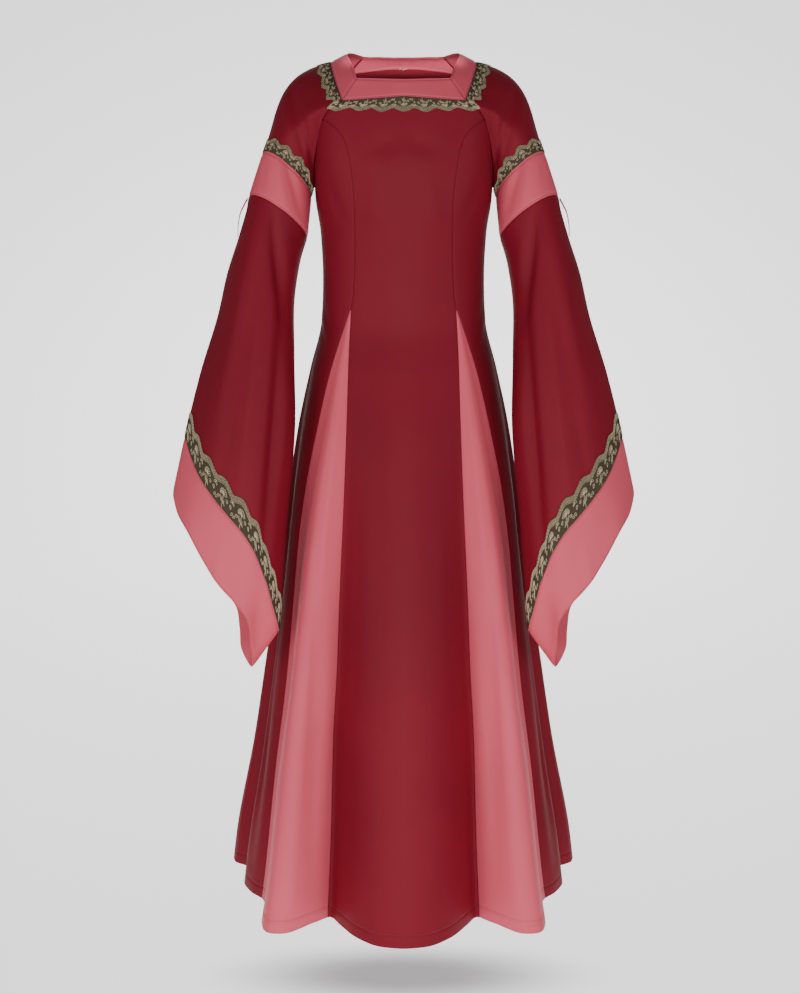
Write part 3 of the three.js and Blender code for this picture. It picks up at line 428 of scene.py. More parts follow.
def raglan_sheet(columns, rows):
    """The upper sleeve: leaves the armhole square to its seam, reaches the arm band along the arm."""
    hole, front_corner, back_corner = armhole()
    normals = body_normals(hole)
    normals[front_corner + 1 : back_corner] = neck_band_normals()
    lengths = np.linalg.norm(np.roll(hole, -1, 0) - hole, axis=1)
    share = np.append(0, np.cumsum(lengths)[:-1]) / lengths.sum()
    end = ring_point(ARM_BAND_TOP, share)
    outward = unit(end - hole)
    reach = np.linalg.norm(end - hole, axis=1, keepdims=True)
    along = np.roll(hole, -1, 0) - np.roll(hole, 1, 0)
    top = (0.5 - 0.5 * np.cos(share * 2 * math.pi))[:, None]
    round_top = top**5
    leave = unit(np.cross(along, normals))
    leave = unit(leave + (outward - leave) * between(RAGLAN_LEAN, top))
    leave = unit(leave + (SHOULDER - leave) * round_top) * reach * between(RAGLAN_LEAVE, round_top)
    arrive = ARM * reach * between(RAGLAN_ARRIVE, top)
    t = np.asarray(rows)[:, None, None]
    coarse = hermite(hole[None], end[None], leave[None], arrive[None], t)
    where = np.sort(np.unique(np.concatenate([np.linspace(0, 1, columns, endpoint=False), share])))
    where = where[np.append(True, np.diff(where) > NEAREST_COLUMNS)]
    fine = np.stack([smooth_round(row, share, where) for row in coarse])
    exact = armhole_curve(share, front_corner, back_corner, where)
    fade = (1 - t) ** 3
    return fine + (exact - fine[0])[None] * fade, where, share[front_corner], share[back_corner]


def armhole_curve(share, front_corner, back_corner, where):
    """The armhole's true line: both raglan seams and the neck band's outer edge."""
    out = np.zeros((len(where), 3))
    front_z = np.array((UNDERARM,) + RAGLAN_FRONT, float)
    front = where <= share[front_corner]
    z = np.interp(where[front], share[: front_corner + 1], front_z)
    out[front] = turned_points(front_raglan(z), z)
    neck = (where > share[front_corner]) & (where < share[back_corner])
    chain = smooth_chain([row[1] for row in NECK_BAND[1:6]], 12)
    steps = np.linspace(0, len(chain) - 1, back_corner - front_corner + 1)
    at = np.interp(where[neck], share[front_corner : back_corner + 1], steps)
    for axis in range(3):
        out[neck, axis] = np.interp(at, np.arange(len(chain)), chain[:, axis])
    back = where >= share[back_corner]
    back_z = np.array(RAGLAN_BACK + (UNDERARM,), float)
    z = np.interp(where[back], np.append(share[back_corner:], 1), back_z)
    out[back] = turned_points(back_raglan(z), z)
    return out


# ---------------------------------------------------------------- cloth
def grid_normals(points, closed=False):
    """The way a grid faces at every point."""
    if closed:
        across = np.roll(points, -1, 1) - np.roll(points, 1, 1)
    else:
        across = np.gradient(points, axis=1)
    down = np.gradient(points, axis=0)
    return unit(np.cross(down, across) + 1e-12)


# A crease runs through points (distance out, height) seen from the front or the back.
# side, half width, depth (ridge +, trough -), points
BODY_CREASES = [
    ("front", 9, -5.5, [(143, -800), (149, -950), (153, -1110), (158, -1270), (161, -1425)]),
    ("front", 10, 2.5, [(124, -880), (131, -1080), (141, -1260), (147, -1400)]),
    ("front", 12, 3.0, [(176, -930), (186, -1100), (197, -1290)]),
    ("front", 10, -8.0, [(216, -820), (228, -960), (243, -1080), (257, -1220), (274, -1380)]),
    ("front", 5, -1.6, [(146, -372), (138, -401), (124, -452)]),
    ("front", 6, -1.9, [(150, -408), (141, -440), (133, -478)]),
    ("front", 5, 1.2, [(150, -391), (137, -424), (126, -470)]),
    ("front", 6, -1.3, [(147, -455), (140, -492)]),
    ("front", 8, -1.8, [(131, -180), (113, -222), (99, -252)]),
    ("front", 17, -2.2, [(6, -122), (34, -128), (58, -139)]),
    ("front", 14, 1.8, [(44, -186), (52, -221), (57, -262)]),
    ("back", 11, -5.0, [(58, -760), (72, -960), (81, -1180), (92, -1400)]),
    ("back", 13, 4.0, [(30, -830), (34, -1060), (41, -1300)]),
    ("back", 9, -4.2, [(139, -720), (158, -930), (176, -1150), (190, -1340)]),
    ("back", 12, 3.6, [(112, -850), (126, -1060), (141, -1280)]),
    ("back", 10, -5.5, [(206, -880), (226, -1060), (246, -1290)]),
    ("back", 6, -2.0, [(142, -362), (112, -396), (78, -411)]),
    ("back", 7, -2.3, [(146, -404), (121, -436), (93, -447)]),
    ("back", 6, 1.3, [(138, -386), (109, -419)]),
    ("back", 9, -2.0, [(129, -176), (109, -232), (101, -301)]),
]
SLEEVE_CREASES = [
    ("front", 7, -5.2, [(187, -36), (182, -71), (174, -100), (164, -146)]),
    ("front", 5, -4.4, [(173, -58), (163, -104), (154, -158)]),
    ("front", 6, 2.6, [(199, -50), (193, -92), (187, -134)]),
    ("front", 5, 2.2, [(170, -92), (163, -124), (158, -146)]),
    ("front", 6, -3.4, [(147, -80), (149, -120), (152, -168)]),
    ("front", 9, -1.8, [(232, -72), (224, -104), (214, -128)]),
    ("front", 6, -3.4, [(197, -146), (190, -173), (181, -202), (173, -244)]),
    ("front", 7, 2.2, [(210, -150), (206, -184), (198, -228)]),
    ("front", 5, -2.0, [(229, -150), (233, -176), (232, -200)]),
    ("front", 15, 4.5, [(240, -232), (254, -310), (270, -390), (291, -482), (309, -560)]),
    ("front", 10, -8.5, [(217, -232), (213, -290), (204, -360), (195, -430)]),
    ("front", 12, -12.0, [(200, -390), (206, -500), (213, -600), (223, -720), (236, -830)]),
    ("front", 13, 3.6, [(235, -360), (251, -480), (266, -610), (284, -752)]),
    ("front", 10, -2.8, [(285, -560), (301, -648), (322, -716)]),
    ("front", 14, -6.0, [(240, -872), (248, -926), (257, -1000)]),
    ("front", 9, 1.8, [(300, -770), (315, -838), (333, -872)]),
    ("back", 9, -3.2, [(176, -60), (168, -106), (159, -160)]),
    ("back", 8, 2.0, [(203, -72), (194, -126)]),
    ("back", 7, -2.4, [(205, -148), (198, -180), (196, -220)]),
    ("back", 13, -6.0, [(221, -240), (226, -340), (231, -452)]),
    ("back", 14, 4.2, [(250, -250), (266, -372), (283, -500)]),
    ("back", 11, -4.6, [(262, -470), (271, -600), (286, -742)]),
    ("back", 12, 3.2, [(239, -520), (246, -650), (252, -780)]),
    ("back", 8, -2.6, [(257, -860), (268, -930), (271, -990)]),
]
NECK_CREASES = [
    ("back", 2.6, -1.1, [(4, 4), (12, 14), (19, 20)]),
    ("back", 2.2, -0.9, [(27, 6), (31, 16)]),
    ("back", 3.0, -1.2, [(44, 2), (50, 12), (60, 21)]),
    ("back", 2.4, 0.8, [(36, 8), (43, 19)]),
]


FACING = 3  # a crease fades out where the cloth turns away from its side


def crease_lift(points, normals, creases):
    """How far the creases push the cloth out or in, tapered at both ends."""
    lift = np.zeros(points.shape[:2])
    flat = np.stack([np.abs(points[..., 0]), points[..., 2]], -1)
    for side, width, depth, path in creases:
        path = np.array(path, float)
        facing = np.clip(normals[..., 1] * (-FACING if side == "front" else FACING), 0, 1)
        nearest = np.full(flat.shape[:2], 1e9)
        place = np.zeros(flat.shape[:2])
        lengths = np.linalg.norm(np.diff(path, axis=0), axis=1)
        start = np.append(0, np.cumsum(lengths))
        for k, length in enumerate(lengths):
            step = (path[k + 1] - path[k]) / length
            run = np.clip((flat - path[k]) @ step, 0, length)
            off = np.linalg.norm(flat - path[k] - run[..., None] * step, axis=-1)
            closer = off < nearest
            nearest = np.where(closer, off, nearest)
            place = np.where(closer, (start[k] + run) / start[-1], place)
        taper = np.sin((0.05 + 0.9 * np.clip(place, 0, 1)) * math.pi) ** 0.8
        lift += depth * facing * taper * np.exp(-((nearest / width) ** 2))
    return lift


def edge_dip(distance, depth=0.55, soft=1.7):
    """Cloth rolls in towards a seam."""
    return -depth * np.exp(-((distance / soft) ** 2))


def distances(points, axis, from_end=False):
    """Distance of every grid point from the first or last row (axis 0) or column (axis 1)."""
    step = np.linalg.norm(np.diff(points, axis=axis), axis=-1)
    run = np.cumsum(step, axis=axis)
    pad = np.zeros_like(np.take(run, [0], axis=axis))
    run = np.concatenate([pad, run], axis=axis)
    return np.take(run, [-1], axis=axis) - run if from_end else run


def signed_volume(verts, faces):
    a, b, c, d = (verts[faces[:, k]] for k in range(4))
    return np.einsum("ij,ij->i", a, np.cross(b, c)).sum() + np.einsum("ij,ij->i", a, np.cross(c, d)).sum()


TURNED = [0, 3, 2, 1]  # a face's corners in the other direction


def grid_faces(index):
    """Four-sided faces over a grid of point numbers."""
    return np.stack([index[:-1, :-1], index[1:, :-1], index[1:, 1:], index[:-1, 1:]], -1).reshape(-1, 4)


def shell(name, outer, thickness, closed=False, material=None):
    """A closed wall whose outer face is the grid; its UV map holds metres along the cloth."""
    rows, columns = outer.shape[:2]
    normals = grid_normals(outer, closed)
    wall = np.broadcast_to(np.asarray(thickness, float), outer.shape[:2])[..., None]
    inner = outer - normals * wall
    verts = np.concatenate([outer.reshape(-1, 3), inner.reshape(-1, 3)]) * MM
    index = np.arange(rows * columns).reshape(rows, columns)
    if closed:
        index = np.concatenate([index, index[:, :1]], 1)
    below = index + rows * columns
    quads = [grid_faces(index), grid_faces(below)[:, TURNED]]
    quads.append(np.stack([index[0, :-1], index[0, 1:], below[0, 1:], below[0, :-1]], -1))
    quads.append(np.stack([index[-1, :-1], below[-1, :-1], below[-1, 1:], index[-1, 1:]], -1))
    if not closed:
        quads.append(np.stack([index[:-1, 0], below[:-1, 0], below[1:, 0], index[1:, 0]], -1))
        quads.append(np.stack([index[:-1, -1], index[1:, -1], below[1:, -1], below[:-1, -1]], -1))
    faces = np.concatenate(quads)
    if signed_volume(verts, faces) < 0:
        faces = faces[:, ::-1]
    along = distances(outer, 1)
    down = distances(outer, 0)
    uv = np.stack([along, -down], -1).reshape(-1, 2) * MM
    return mesh_object(name, verts, faces, np.concatenate([uv, uv]), material)


def mesh_object(name, verts, faces, uv=None, material=None):
    """A smooth mesh in the scene, its place in its own points."""
    mesh = bpy.data.meshes.new(name)
    mesh.from_pydata(verts.tolist(), [], faces.tolist())
    mesh.polygons.foreach_set("use_smooth", [True] * len(mesh.polygons))
    if uv is not None:
        layer = mesh.uv_layers.new(name="cloth")
        corner = np.zeros(len(mesh.loops), np.int32)
        mesh.loops.foreach_get("vertex_index", corner)
        layer.data.foreach_set("uv", uv[corner].ravel())
    mesh.update()
    obj = bpy.data.objects.new(name, mesh)
    bpy.context.scene.collection.objects.link(obj)
    if material:
        mesh.materials.append(material)
    return obj


def flipped(points):
    """The same grid on the wearer's right."""
    return points[:, ::-1] * np.array([-1, 1, 1])


# ---------------------------------------------------------------- materials
def srgb(code):
    """A colour given as hex sRGB, in linear light."""
    values = [int(code[k : k + 2], 16) / 255 for k in (1, 3, 5)]
    return tuple(v / 12.92 if v <= 0.04045 else ((v + 0.055) / 1.055) ** 2.4 for v in values) + (1.0,)


def add_node(tree, kind, inputs=(), **settings):
    """Adds a node; settings name its properties or inputs, inputs pair one with a socket or a value."""
    node = tree.nodes.new(kind)
    for name, value in settings.items():
        socket = node.inputs.get(name.replace("_", " "))
        if socket:
            socket.default_value = value
        else:
            setattr(node, name, value)
    for name, given in inputs:
        if isinstance(given, NodeSocket):
            tree.links.new(given, node.inputs[name])
        else:
            node.inputs[name].default_value = given
    return node


def new_material(name):
    material = bpy.data.materials.new(name)
    material.use_nodes = True
    tree = material.node_tree
    tree.nodes.clear()
    return material, tree


# sizes of the patterns, in millimetres
WAVE = 1000 * math.pi / 10  # a wave texture of scale 1 repeats after this
DRIFT = 250  # slow change of the satin's tone
CRUMPLE = 33.3  # the satin's soft unevenness
TWILL = 0.785  # twill floats, drawn twice as coarse as real so that they show
STRAND = 4.5  # change of tone along a thread
TWIST = 0.209  # twist of sewing thread
GOLD_TWIST = 0.349  # and of the thicker embroidery thread
TONE = {"From_Min": 0.35, "From_Max": 0.65}  # noise between these goes from the dark tone to the light
STRANDS = {"From_Min": 0.08, "From_Max": 0.22}  # and a net's cell from its thread to its gap, which is darkened with painted shade
FIRST, SECOND, MIXED = 6, 7, 2  # a Mix node's two colours in and its colour out, by index


def satin(name, light, dark, roughness):
    """Polyester satin: a soft sheen, fine twill floats and a slow drift of tone."""
    material, tree = new_material(name)
    uv = add_node(tree, "ShaderNodeUVMap", uv_map="cloth").outputs["UV"]
    place = add_node(tree, "ShaderNodeTexCoord").outputs["Object"]
    drift = add_node(tree, "ShaderNodeTexNoise", [("Vector", place)], Scale=1000 / DRIFT, Detail=3.0)
    twill = add_node(tree, "ShaderNodeTexWave", [("Vector", uv)], Scale=WAVE / TWILL, Distortion=1.5)
    crumple = add_node(tree, "ShaderNodeTexNoise", [("Vector", place)], Scale=1000 / CRUMPLE, Detail=2.0)
    height = [("Height", twill.outputs["Fac"])]
    weave = add_node(tree, "ShaderNodeBump", height, Strength=0.05, Distance=0.0004)
    height = [("Height", crumple.outputs["Fac"]), ("Normal", weave.outputs["Normal"])]
    soft = add_node(tree, "ShaderNodeBump", height, Strength=0.2, Distance=0.0012)
    tone = add_node(tree, "ShaderNodeMapRange", [("Value", drift.outputs["Fac"])], **TONE)
    mixed = [("Factor", tone.outputs["Result"]), (FIRST, dark), (SECOND, light)]
    colour = add_node(tree, "ShaderNodeMix", mixed, data_type="RGBA").outputs[MIXED]
    surface = add_node(
        tree,
        "ShaderNodeBsdfPrincipled",
        [("Base Color", colour), ("Normal", soft.outputs["Normal"])],
        Roughness=roughness,
        Sheen_Weight=0.03,
        Sheen_Roughness=0.35,
        Sheen_Tint=light,
        Specular_IOR_Level=0.11,
    )
    add_node(tree, "ShaderNodeOutputMaterial", [("Surface", surface.outputs["BSDF"])])
    return material


def net(name, thread, gap, mesh_size):
    """Tulle net of round meshes: matt threads over darker gaps, painted shade that stands for the holes'
    depth and the darker cloth seen through them.
    """
    material, tree = new_material(name)
    uv = [("Vector", add_node(tree, "ShaderNodeUVMap", uv_map="cloth").outputs["UV"])]
    cell = {"feature": "DISTANCE_TO_EDGE", "Scale": 1 / mesh_size, "Randomness": 0.3}
    edge = add_node(tree, "ShaderNodeTexVoronoi", uv, **cell).outputs["Distance"]
    tone = add_node(tree, "ShaderNodeMapRange", [("Value", edge)], **STRANDS).outputs["Result"]
    bump = add_node(
        tree, "ShaderNodeBump", [("Height", tone)], Strength=0.6, Distance=0.0003, invert=True
    )
    mixed = [("Factor", tone), (FIRST, thread), (SECOND, gap)]
    colour = add_node(tree, "ShaderNodeMix", mixed, data_type="RGBA").outputs[MIXED]
    given = [("Base Color", colour), ("Normal", bump.outputs["Normal"])]
    surface = add_node(tree, "ShaderNodeBsdfPrincipled", given, Roughness=0.75, Specular_IOR_Level=0.2)
    add_node(tree, "ShaderNodeOutputMaterial", [("Surface", surface.outputs["BSDF"])])
    return material


def yarn(name, light, dark, twist):
    """Twisted thread: a fine slanted twist that catches the light and a slight change of tone."""
    material, tree = new_material(name)
    place = [("Vector", add_node(tree, "ShaderNodeTexCoord").outputs["Object"])]
    drift = add_node(tree, "ShaderNodeTexNoise", place, Scale=1000 / STRAND, Detail=2.0)
    turns = add_node(tree, "ShaderNodeTexWave", place, bands_direction="DIAGONAL", Scale=WAVE / twist)
    bump = add_node(tree, "ShaderNodeBump", [("Height", turns.outputs["Fac"])], Strength=0.3, Distance=0.0002)
    tone = add_node(tree, "ShaderNodeMapRange", [("Value", drift.outputs["Fac"])], **TONE)
    mixed = [("Factor", tone.outputs["Result"]), (FIRST, dark), (SECOND, light)]
    colour = add_node(tree, "ShaderNodeMix", mixed, data_type="RGBA").outputs[MIXED]
    given = [("Base Color", colour), ("Normal", bump.outputs["Normal"])]
    surface = add_node(tree, "ShaderNodeBsdfPrincipled", given, Roughness=0.6, Sheen_Weight=0.2)
    add_node(tree, "ShaderNodeOutputMaterial", [("Surface", surface.outputs["BSDF"])])
    return material


def shade(colour, share):
    """A colour at a share of its brightness."""
    return tuple(part * share for part in colour[:3]) + (1.0,)


MADE = {}


def finish_for(key):
    """The finishes are made once, from the colours set on the scene."""
    if not MADE:
        look = bpy.context.scene.dress_look
        burgundy, rose, lace, gold = (
            shade(colour, 1) for colour in (look.burgundy, look.rose, look.lace_net, look.lace_thread)
        )
        for dyed, light, dark, gloss in (
            ("burgundy", burgundy, shade(burgundy, 0.86), look.burgundy_roughness),
            ("rose", rose, shade(rose, 0.93), look.rose_roughness),
        ):
            MADE[dyed] = satin(f"{dyed}_polyester_satin", light, dark, gloss)
        # the gaps at 0.45 of the net's colour are painted shade for its holes and the cloth behind
        MADE["net"] = net("olive_tulle_net", lace, shade(lace, 0.45), look.net_mesh)
        MADE["gold"] = yarn("pale_gold_embroidery_thread", gold, shade(gold, 0.72), GOLD_TWIST)
        for dyed, light, dark in (
            ("burgundy", shade(burgundy, 0.6), shade(burgundy, 0.4)),
            ("rose", shade(rose, 0.4), shade(rose, 0.3)),
            ("white", srgb("#F4F0EC"), srgb("#D8D2CC")),
        ):
            MADE[f"{dyed}_thread"] = yarn(f"{dyed}_sewing_thread", light, dark, TWIST)
    return MADE[key]


# ---------------------------------------------------------------- grids of the pieces
EDGE_SHARES = np.array([0, 0.006, 0.014, 0.028])
BAND_EDGE = np.array([0, 0.7, 1.6, 2.4, 3.0, 3.6, 4.6, 6.5])
HEM_ROWS = HEM + np.array([26, 23, 21.2, 20, 18.8, 17, 13, 8, 4, 2, 0.8, 0])


def spread(count):
    """Shares across a panel, close together beside its seams."""
    return np.concatenate([EDGE_SHARES, np.linspace(0.05, 0.95, count), 1 - EDGE_SHARES[::-1]])


def band_rows(width, count):
    """Shares across a faced band, close together at its edges and topstitching."""
    edge = BAND_EDGE / width
    middle = np.linspace(edge[-1], 1 - edge[-1], count + 2)[1:-1]
    return np.concatenate([edge, middle, 1 - edge[::-1]])


def heights(top, step=8.0):
    """Heights from a panel's top to the hem, close together at both ends."""
    return np.concatenate([[top, top - 1, top - 2.5], np.arange(top - 5, HEM + 30, -step), HEM_ROWS])


def draw_in(points, edges):
    """Leaves half a seam's gap along the named edges."""
    out = points.copy()
    ends = {"top": (0, 0, 1), "bottom": (0, -1, -2), "start": (1, 0, 1), "end": (1, -1, -2)}
    for edge in edges:
        axis, at, beside = ends[edge]
        here = np.take(points, at, axis=axis)
        step = np.take(points, beside, axis=axis) - here
        length = np.linalg.norm(step, axis=-1, keepdims=True)
        moved = here + step / np.maximum(length, 1e-9) * np.minimum(SEAM_GAP / 2, 0.3 * length)
        if axis:
            out[:, at] = moved
        else:
            out[at] = moved
    return out


def seam_lift(points, edges):
    """How the cloth rolls in along its sewn edges."""
    lift = np.zeros(points.shape[:2])
    for edge in edges:
        axis = 0 if edge in ("top", "bottom") else 1
        lift += edge_dip(distances(points, axis, edge in ("bottom", "end")))
    return lift


def groove(distance, at, depth=0.9, soft=1.2):
    """The dent that a row of stitches pulls into the cloth."""
    return -depth * np.exp(-(((distance - at) / soft) ** 2))


def finish_grid(points, edges, creases, lift=0, closed=False, normals=None):
    """Creases the cloth, rolls in its sewn edges and leaves the seams' gaps."""
    if normals is None:
        normals = grid_normals(points, closed)
    total = crease_lift(points, normals, creases) + seam_lift(points, edges) + lift
    return draw_in(points + normals * total[..., None], edges)


RISE_FADE = 60  # the neck's arch fades out this far below it


def body_panel(z, start, end, count, edges, rise=None):
    """A panel from one bearing to another, with its flutes, creases, seams and hem."""
    share = spread(count)
    bearing = start[:, None] + (end - start)[:, None] * share
    level = np.broadcast_to(z[:, None], bearing.shape).copy()
    if rise:
        level += rise(bearing) * np.clip(1 - (z[0] - z[:, None]) / RISE_FADE, 0, 1)
    points = body_points(bearing, level)
    across = body_points(bearing + TURN_STEP, level) - body_points(bearing - TURN_STEP, level)
    down = body_points(bearing, level - DROP_STEP) - body_points(bearing, level + DROP_STEP)
    normals = unit(np.cross(down, across))
    hem = groove(distances(points, 0, True), HEM_TURN)
    return finish_grid(points, edges, BODY_CREASES, hem, normals=normals)


def edge_rise(corner, centre, z, arched=False):
    """How much higher the neck band's edge runs than its corner."""

    def rise(bearing):
        out = np.abs(body_points(bearing, np.full(np.shape(bearing), float(z)))[..., 0])
        share = np.clip(1 - out / corner[1][0], 0, 1)
        return (centre[1][2] - corner[1][2]) * (np.sin(share * math.pi / 2) if arched else share)

    return rise


@cache
def front_centre():
    z = heights(FRONT_NECK)
    side = np.full(len(z), GODET_INNER)
    rise = edge_rise(NECK_BAND[1], NECK_BAND[0], FRONT_NECK)
    return body_panel(z, -side, side, 34, ("top", "start", "end"), rise)


@cache
def back_centre():
    z = heights(BACK_NECK)
    side = np.full(len(z), float(BACK))
    rise = edge_rise(NECK_BAND[5], NECK_BAND[6], BACK_NECK, True)
    return body_panel(z, side, 360 - side, 36, ("top", "start", "end"), rise)


@cache
def front_side():
    z = heights(FRONT_JOIN - 0.5)
    return body_panel(z, np.full(len(z), GODET_OUTER), front_arm_bearing(z), 20, ("start", "end"))


@cache
def back_side():
    z = heights(BACK_JOIN - 0.5)
    return body_panel(z, back_arm_bearing(z), np.full(len(z), float(BACK)), 34, ("start", "end"))


@cache
def godet():
    z = heights(GODET_TIP - 4)
    return body_panel(z, np.full(len(z), GODET_INNER), np.full(len(z), GODET_OUTER), 30, ("start", "end"))


CROWN = 0.7  # a faced band stands this much higher along its middle


def band_grid(inner, outer, count, closed=False, ends=("start", "end"), creases=()):
    """A faced band between two edges: slightly crowned, rolled and topstitched at both edges."""
    width = np.linalg.norm(outer - inner, axis=-1).mean()
    share = band_rows(width, count)
    points = inner[None] + (outer - inner)[None] * share[:, None, None]
    down = distances(points, 0)
    up = distances(points, 0, True)
    lift = CROWN * (1 - (2 * share[:, None] - 1) ** 6) + edge_dip(up, 0.6, 1.6)
    lift = lift + groove(down, TOPSTITCH) + groove(up, TOPSTITCH)
    return finish_grid(points, ends, creases, lift, closed)


@cache
def neck_band(part):
    edges = [neck_edge(0, part), neck_edge(1, part)]
    if part == "front":
        edges = [np.vstack([(edge[::-1] * (-1, 1, 1))[:-1], edge]) for edge in edges]
    if part == "back":
        edges = [np.vstack([edge, (edge[::-1] * (-1, 1, 1))[1:]]) for edge in edges]
    return band_grid(*edges, 5, creases=NECK_CREASES)


# columns round each part of a sleeve
RAGLAN_STEPS = 110
BAND_STEPS = 84
BELL_STEPS = 112
CUFF_STEPS = 150


def around(count):
    return np.linspace(0, 1, count, endpoint=False)


@cache
def arm_band():
    share = around(BAND_STEPS)
    inner, outer = ring_point(ARM_BAND_TOP, share), ring_point(ARM_BAND_END, share)
    return band_grid(inner, outer, 12, True, (), SLEEVE_CREASES)


@cache
def bell_sleeve():
    t = np.concatenate([[0, 0.002, 0.005], np.linspace(0.012, 0.988, 72), [0.995, 0.998, 1]])
    along, share = np.meshgrid(t, around(BELL_STEPS), indexing="ij")
    points = lower_sleeve(share, along)
    return finish_grid(points, ("top", "bottom"), SLEEVE_CREASES, 0, True)


@cache
def cuff():
    share = around(CUFF_STEPS)
    return band_grid(cuff_top(share), cuff_end(share), 12, True, (), SLEEVE_CREASES)


SHOULDER_EASE = 16  # rounds of easing that let the satin bridge the sleeve's sharper turns


@cache
def raglan():
    """The upper sleeve's grid, its columns' shares and the two corners at the neck."""
    t = np.concatenate([[0, 0.012, 0.03], np.linspace(0.06, 0.94, 26), [0.97, 0.988, 1]])
    points, where, front, back = raglan_sheet(RAGLAN_STEPS, t)
    hold = np.sin(math.pi * t)[:, None, None] ** 0.6
    for _ in range(SHOULDER_EASE):
        points = points + hold * (np.roll(points, 1, 1) + np.roll(points, -1, 1) - 2 * points) / 4
    return finish_grid(points, ("top", "bottom"), SLEEVE_CREASES, 0, True), where, front, back


def strap():
    """The narrow strap that bows off the outer arm."""
    lift = reader(STRAP_BOW)
    t = np.linspace(STRAP_BOW[0][0], STRAP_BOW[-1][0], 30)
    along, share = np.meshgrid(t, np.linspace(*STRAP_SHARES, 7), indexing="ij")
    points = lower_sleeve(share, along)
    return points + grid_normals(points) * (lift(along) + SATIN + STRAP_CLEAR)[..., None]


def make_cloth(name, node, grid, thickness, finish, closed=False):
    """Makes one piece in place, attaches it to the root and hides the node that it stands for."""
    obj = shell(name, grid, thickness, closed, finish_for(finish))
    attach(obj, "root")
    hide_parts(node)


def make_pair(stem, grid, thickness, finish, closed=False):
    """Makes a piece for the wearer's left and its mirror image for the right."""
    make_cloth(f"{stem}_left_cloth", f"{stem}_left", grid, thickness, finish, closed)
    make_cloth(f"{stem}_right_cloth", f"{stem}_right", flipped(grid), thickness, finish, closed)


# ---------------------------------------------------------------- lace
NECK_LACE = {"width": 25, "repeat": 28, "scallop": 7, "thread": 0.38}
CUFF_LACE = {"width": 50, "repeat": 46, "scallop": 9.5, "thread": 0.5}
LACE_LIFT = 0.6  # net above the cloth
LACE_ROWS = 14  # rows of a centre panel's grid that its lace reaches over
MITRE = 1.4  # the neck lace is this much wider along its square corners
SHORT_UNDERARM = 0.45  # a sleeve's lace takes up to this share of a short underarm
SCALLOP_STEPS = 18  # columns of net to one repeat
NET_ROWS = np.array([0, 0.04, 0.15, 0.3, 0.45, 0.6, 0.75, 0.88, 0.96, 1])
SEAM_TURN = 0.22  # share of the shoulder lace's length over which its ends narrow into the seams
SEAM_LIFT = 0.5  # and rise over the other lace


def bed(points, from_end=False, closed=False, rows=None):
    """The cloth that a lace lies on, from its sewn edge inwards: points, normals, distances."""
    normals = grid_normals(points, closed)
    far = distances(points, 0, from_end)
    fields = [points, normals, far]
    if closed:
        fields = [np.concatenate([f, f[:, :1]], 1) for f in fields]
    if from_end:
        fields = [f[::-1] for f in fields]
    return [f[:rows] for f in fields]


def lay(cloth, column, depth, lift):
    """Points at a fractional column and a distance from the sewn edge, lifted off the cloth."""
    grid, normals, far = cloth
    column = np.clip(column, 0, grid.shape[1] - 1.0001)
    i = column.astype(int)
    f = column - i
    run = far[:, i] * (1 - f) + far[:, i + 1] * f
    k = np.clip((run <= depth).sum(0) - 1, 0, len(grid) - 2)
    low = np.take_along_axis(run, k[None], 0)[0]
    high = np.take_along_axis(run, k[None] + 1, 0)[0]
    g = np.clip((depth - low) / (high - low), 0, 1)[..., None]
    f = f[..., None]

    def mix(field):
        upper = field[k, i] * (1 - f) + field[k, i + 1] * f
        lower = field[k + 1, i] * (1 - f) + field[k + 1, i + 1] * f
        return upper * (1 - g) + lower * g

    normal = unit(mix(normals))
    return mix(grid) + normal * np.asarray(lift)[..., None], normal


def run_of(line):
    """Distance of every point along a line from its start."""
    return np.append(0, np.cumsum(np.linalg.norm(np.diff(line, axis=0), axis=1)))


def ring_place(cloth, width):
    """A lace round a sleeve, by its share of the turn and of its width."""
    edge = run_of(cloth[0][0])
    length = cloth[2][-1]

    def place(u, d, lift):
        column = np.interp(np.mod(u, 1) * edge[-1], edge, np.arange(len(edge)))
        room = np.interp(column, np.arange(len(length)), length) * SHORT_UNDERARM
        return lay(cloth, column, d * np.minimum(width, room), lift)

    return place, edge[-1]


def centre_place(cloth, width):
    """A lace below the neck band on a centre panel, wider towards its mitred corners."""
    edge = run_of(cloth[0][0])

    def place(u, d, lift):
        column = np.interp(np.clip(u, 0.0005, 0.9995) * edge[-1], edge, np.arange(len(edge)))
        return lay(cloth, column, d * width * (1 + (MITRE - 1) * np.abs(2 * u - 1) ** 6), lift)

    return place, edge[-1]


def shoulder_place(cloth, width, front, back):
    """A lace beside the neck band on the raglan sleeve; its ends run down the raglan seams."""
    edge = run_of(cloth[0][0])
    start, end = front * edge[-1], back * edge[-1]

    def place(u, d, lift):
        reach = width * MITRE * d
        u = np.clip(u, 0.002, 0.998)
        at = (start - reach) * (1 - u) + (end + reach) * u
        column = np.interp(at, edge, np.arange(len(edge)))
        from_seam = np.clip(np.minimum(u, 1 - u) / SEAM_TURN, 0, 1)
        depth = width * d * np.sin(from_seam * math.pi / 2)
        return lay(cloth, column, depth, lift + SEAM_LIFT * (1 - from_seam))

    return place, end - start


def profile(u, repeats, lace):
    """The scalloped edge as a share of the lace's width: round heads, pointed valleys."""
    beat = np.abs(np.sin(math.pi * repeats * u))
    return 1 - lace["scallop"] / lace["width"] * (1 - 0.75 * beat - 0.25 * beat**4)


CURL_TURN = 8  # radians that a curl winds through
CURL_CLOSE = 0.75  # share of its radius that it loses on the way


def spiral(x, y, turn, size, steps=12):
    """A curl that winds inwards."""
    t = np.linspace(0, 1, steps)
    angle = turn + t * CURL_TURN
    radius = size * (1 - CURL_CLOSE * t)
    return [(x + r * math.cos(a), y + r * math.sin(a)) for a, r in zip(angle, radius)]


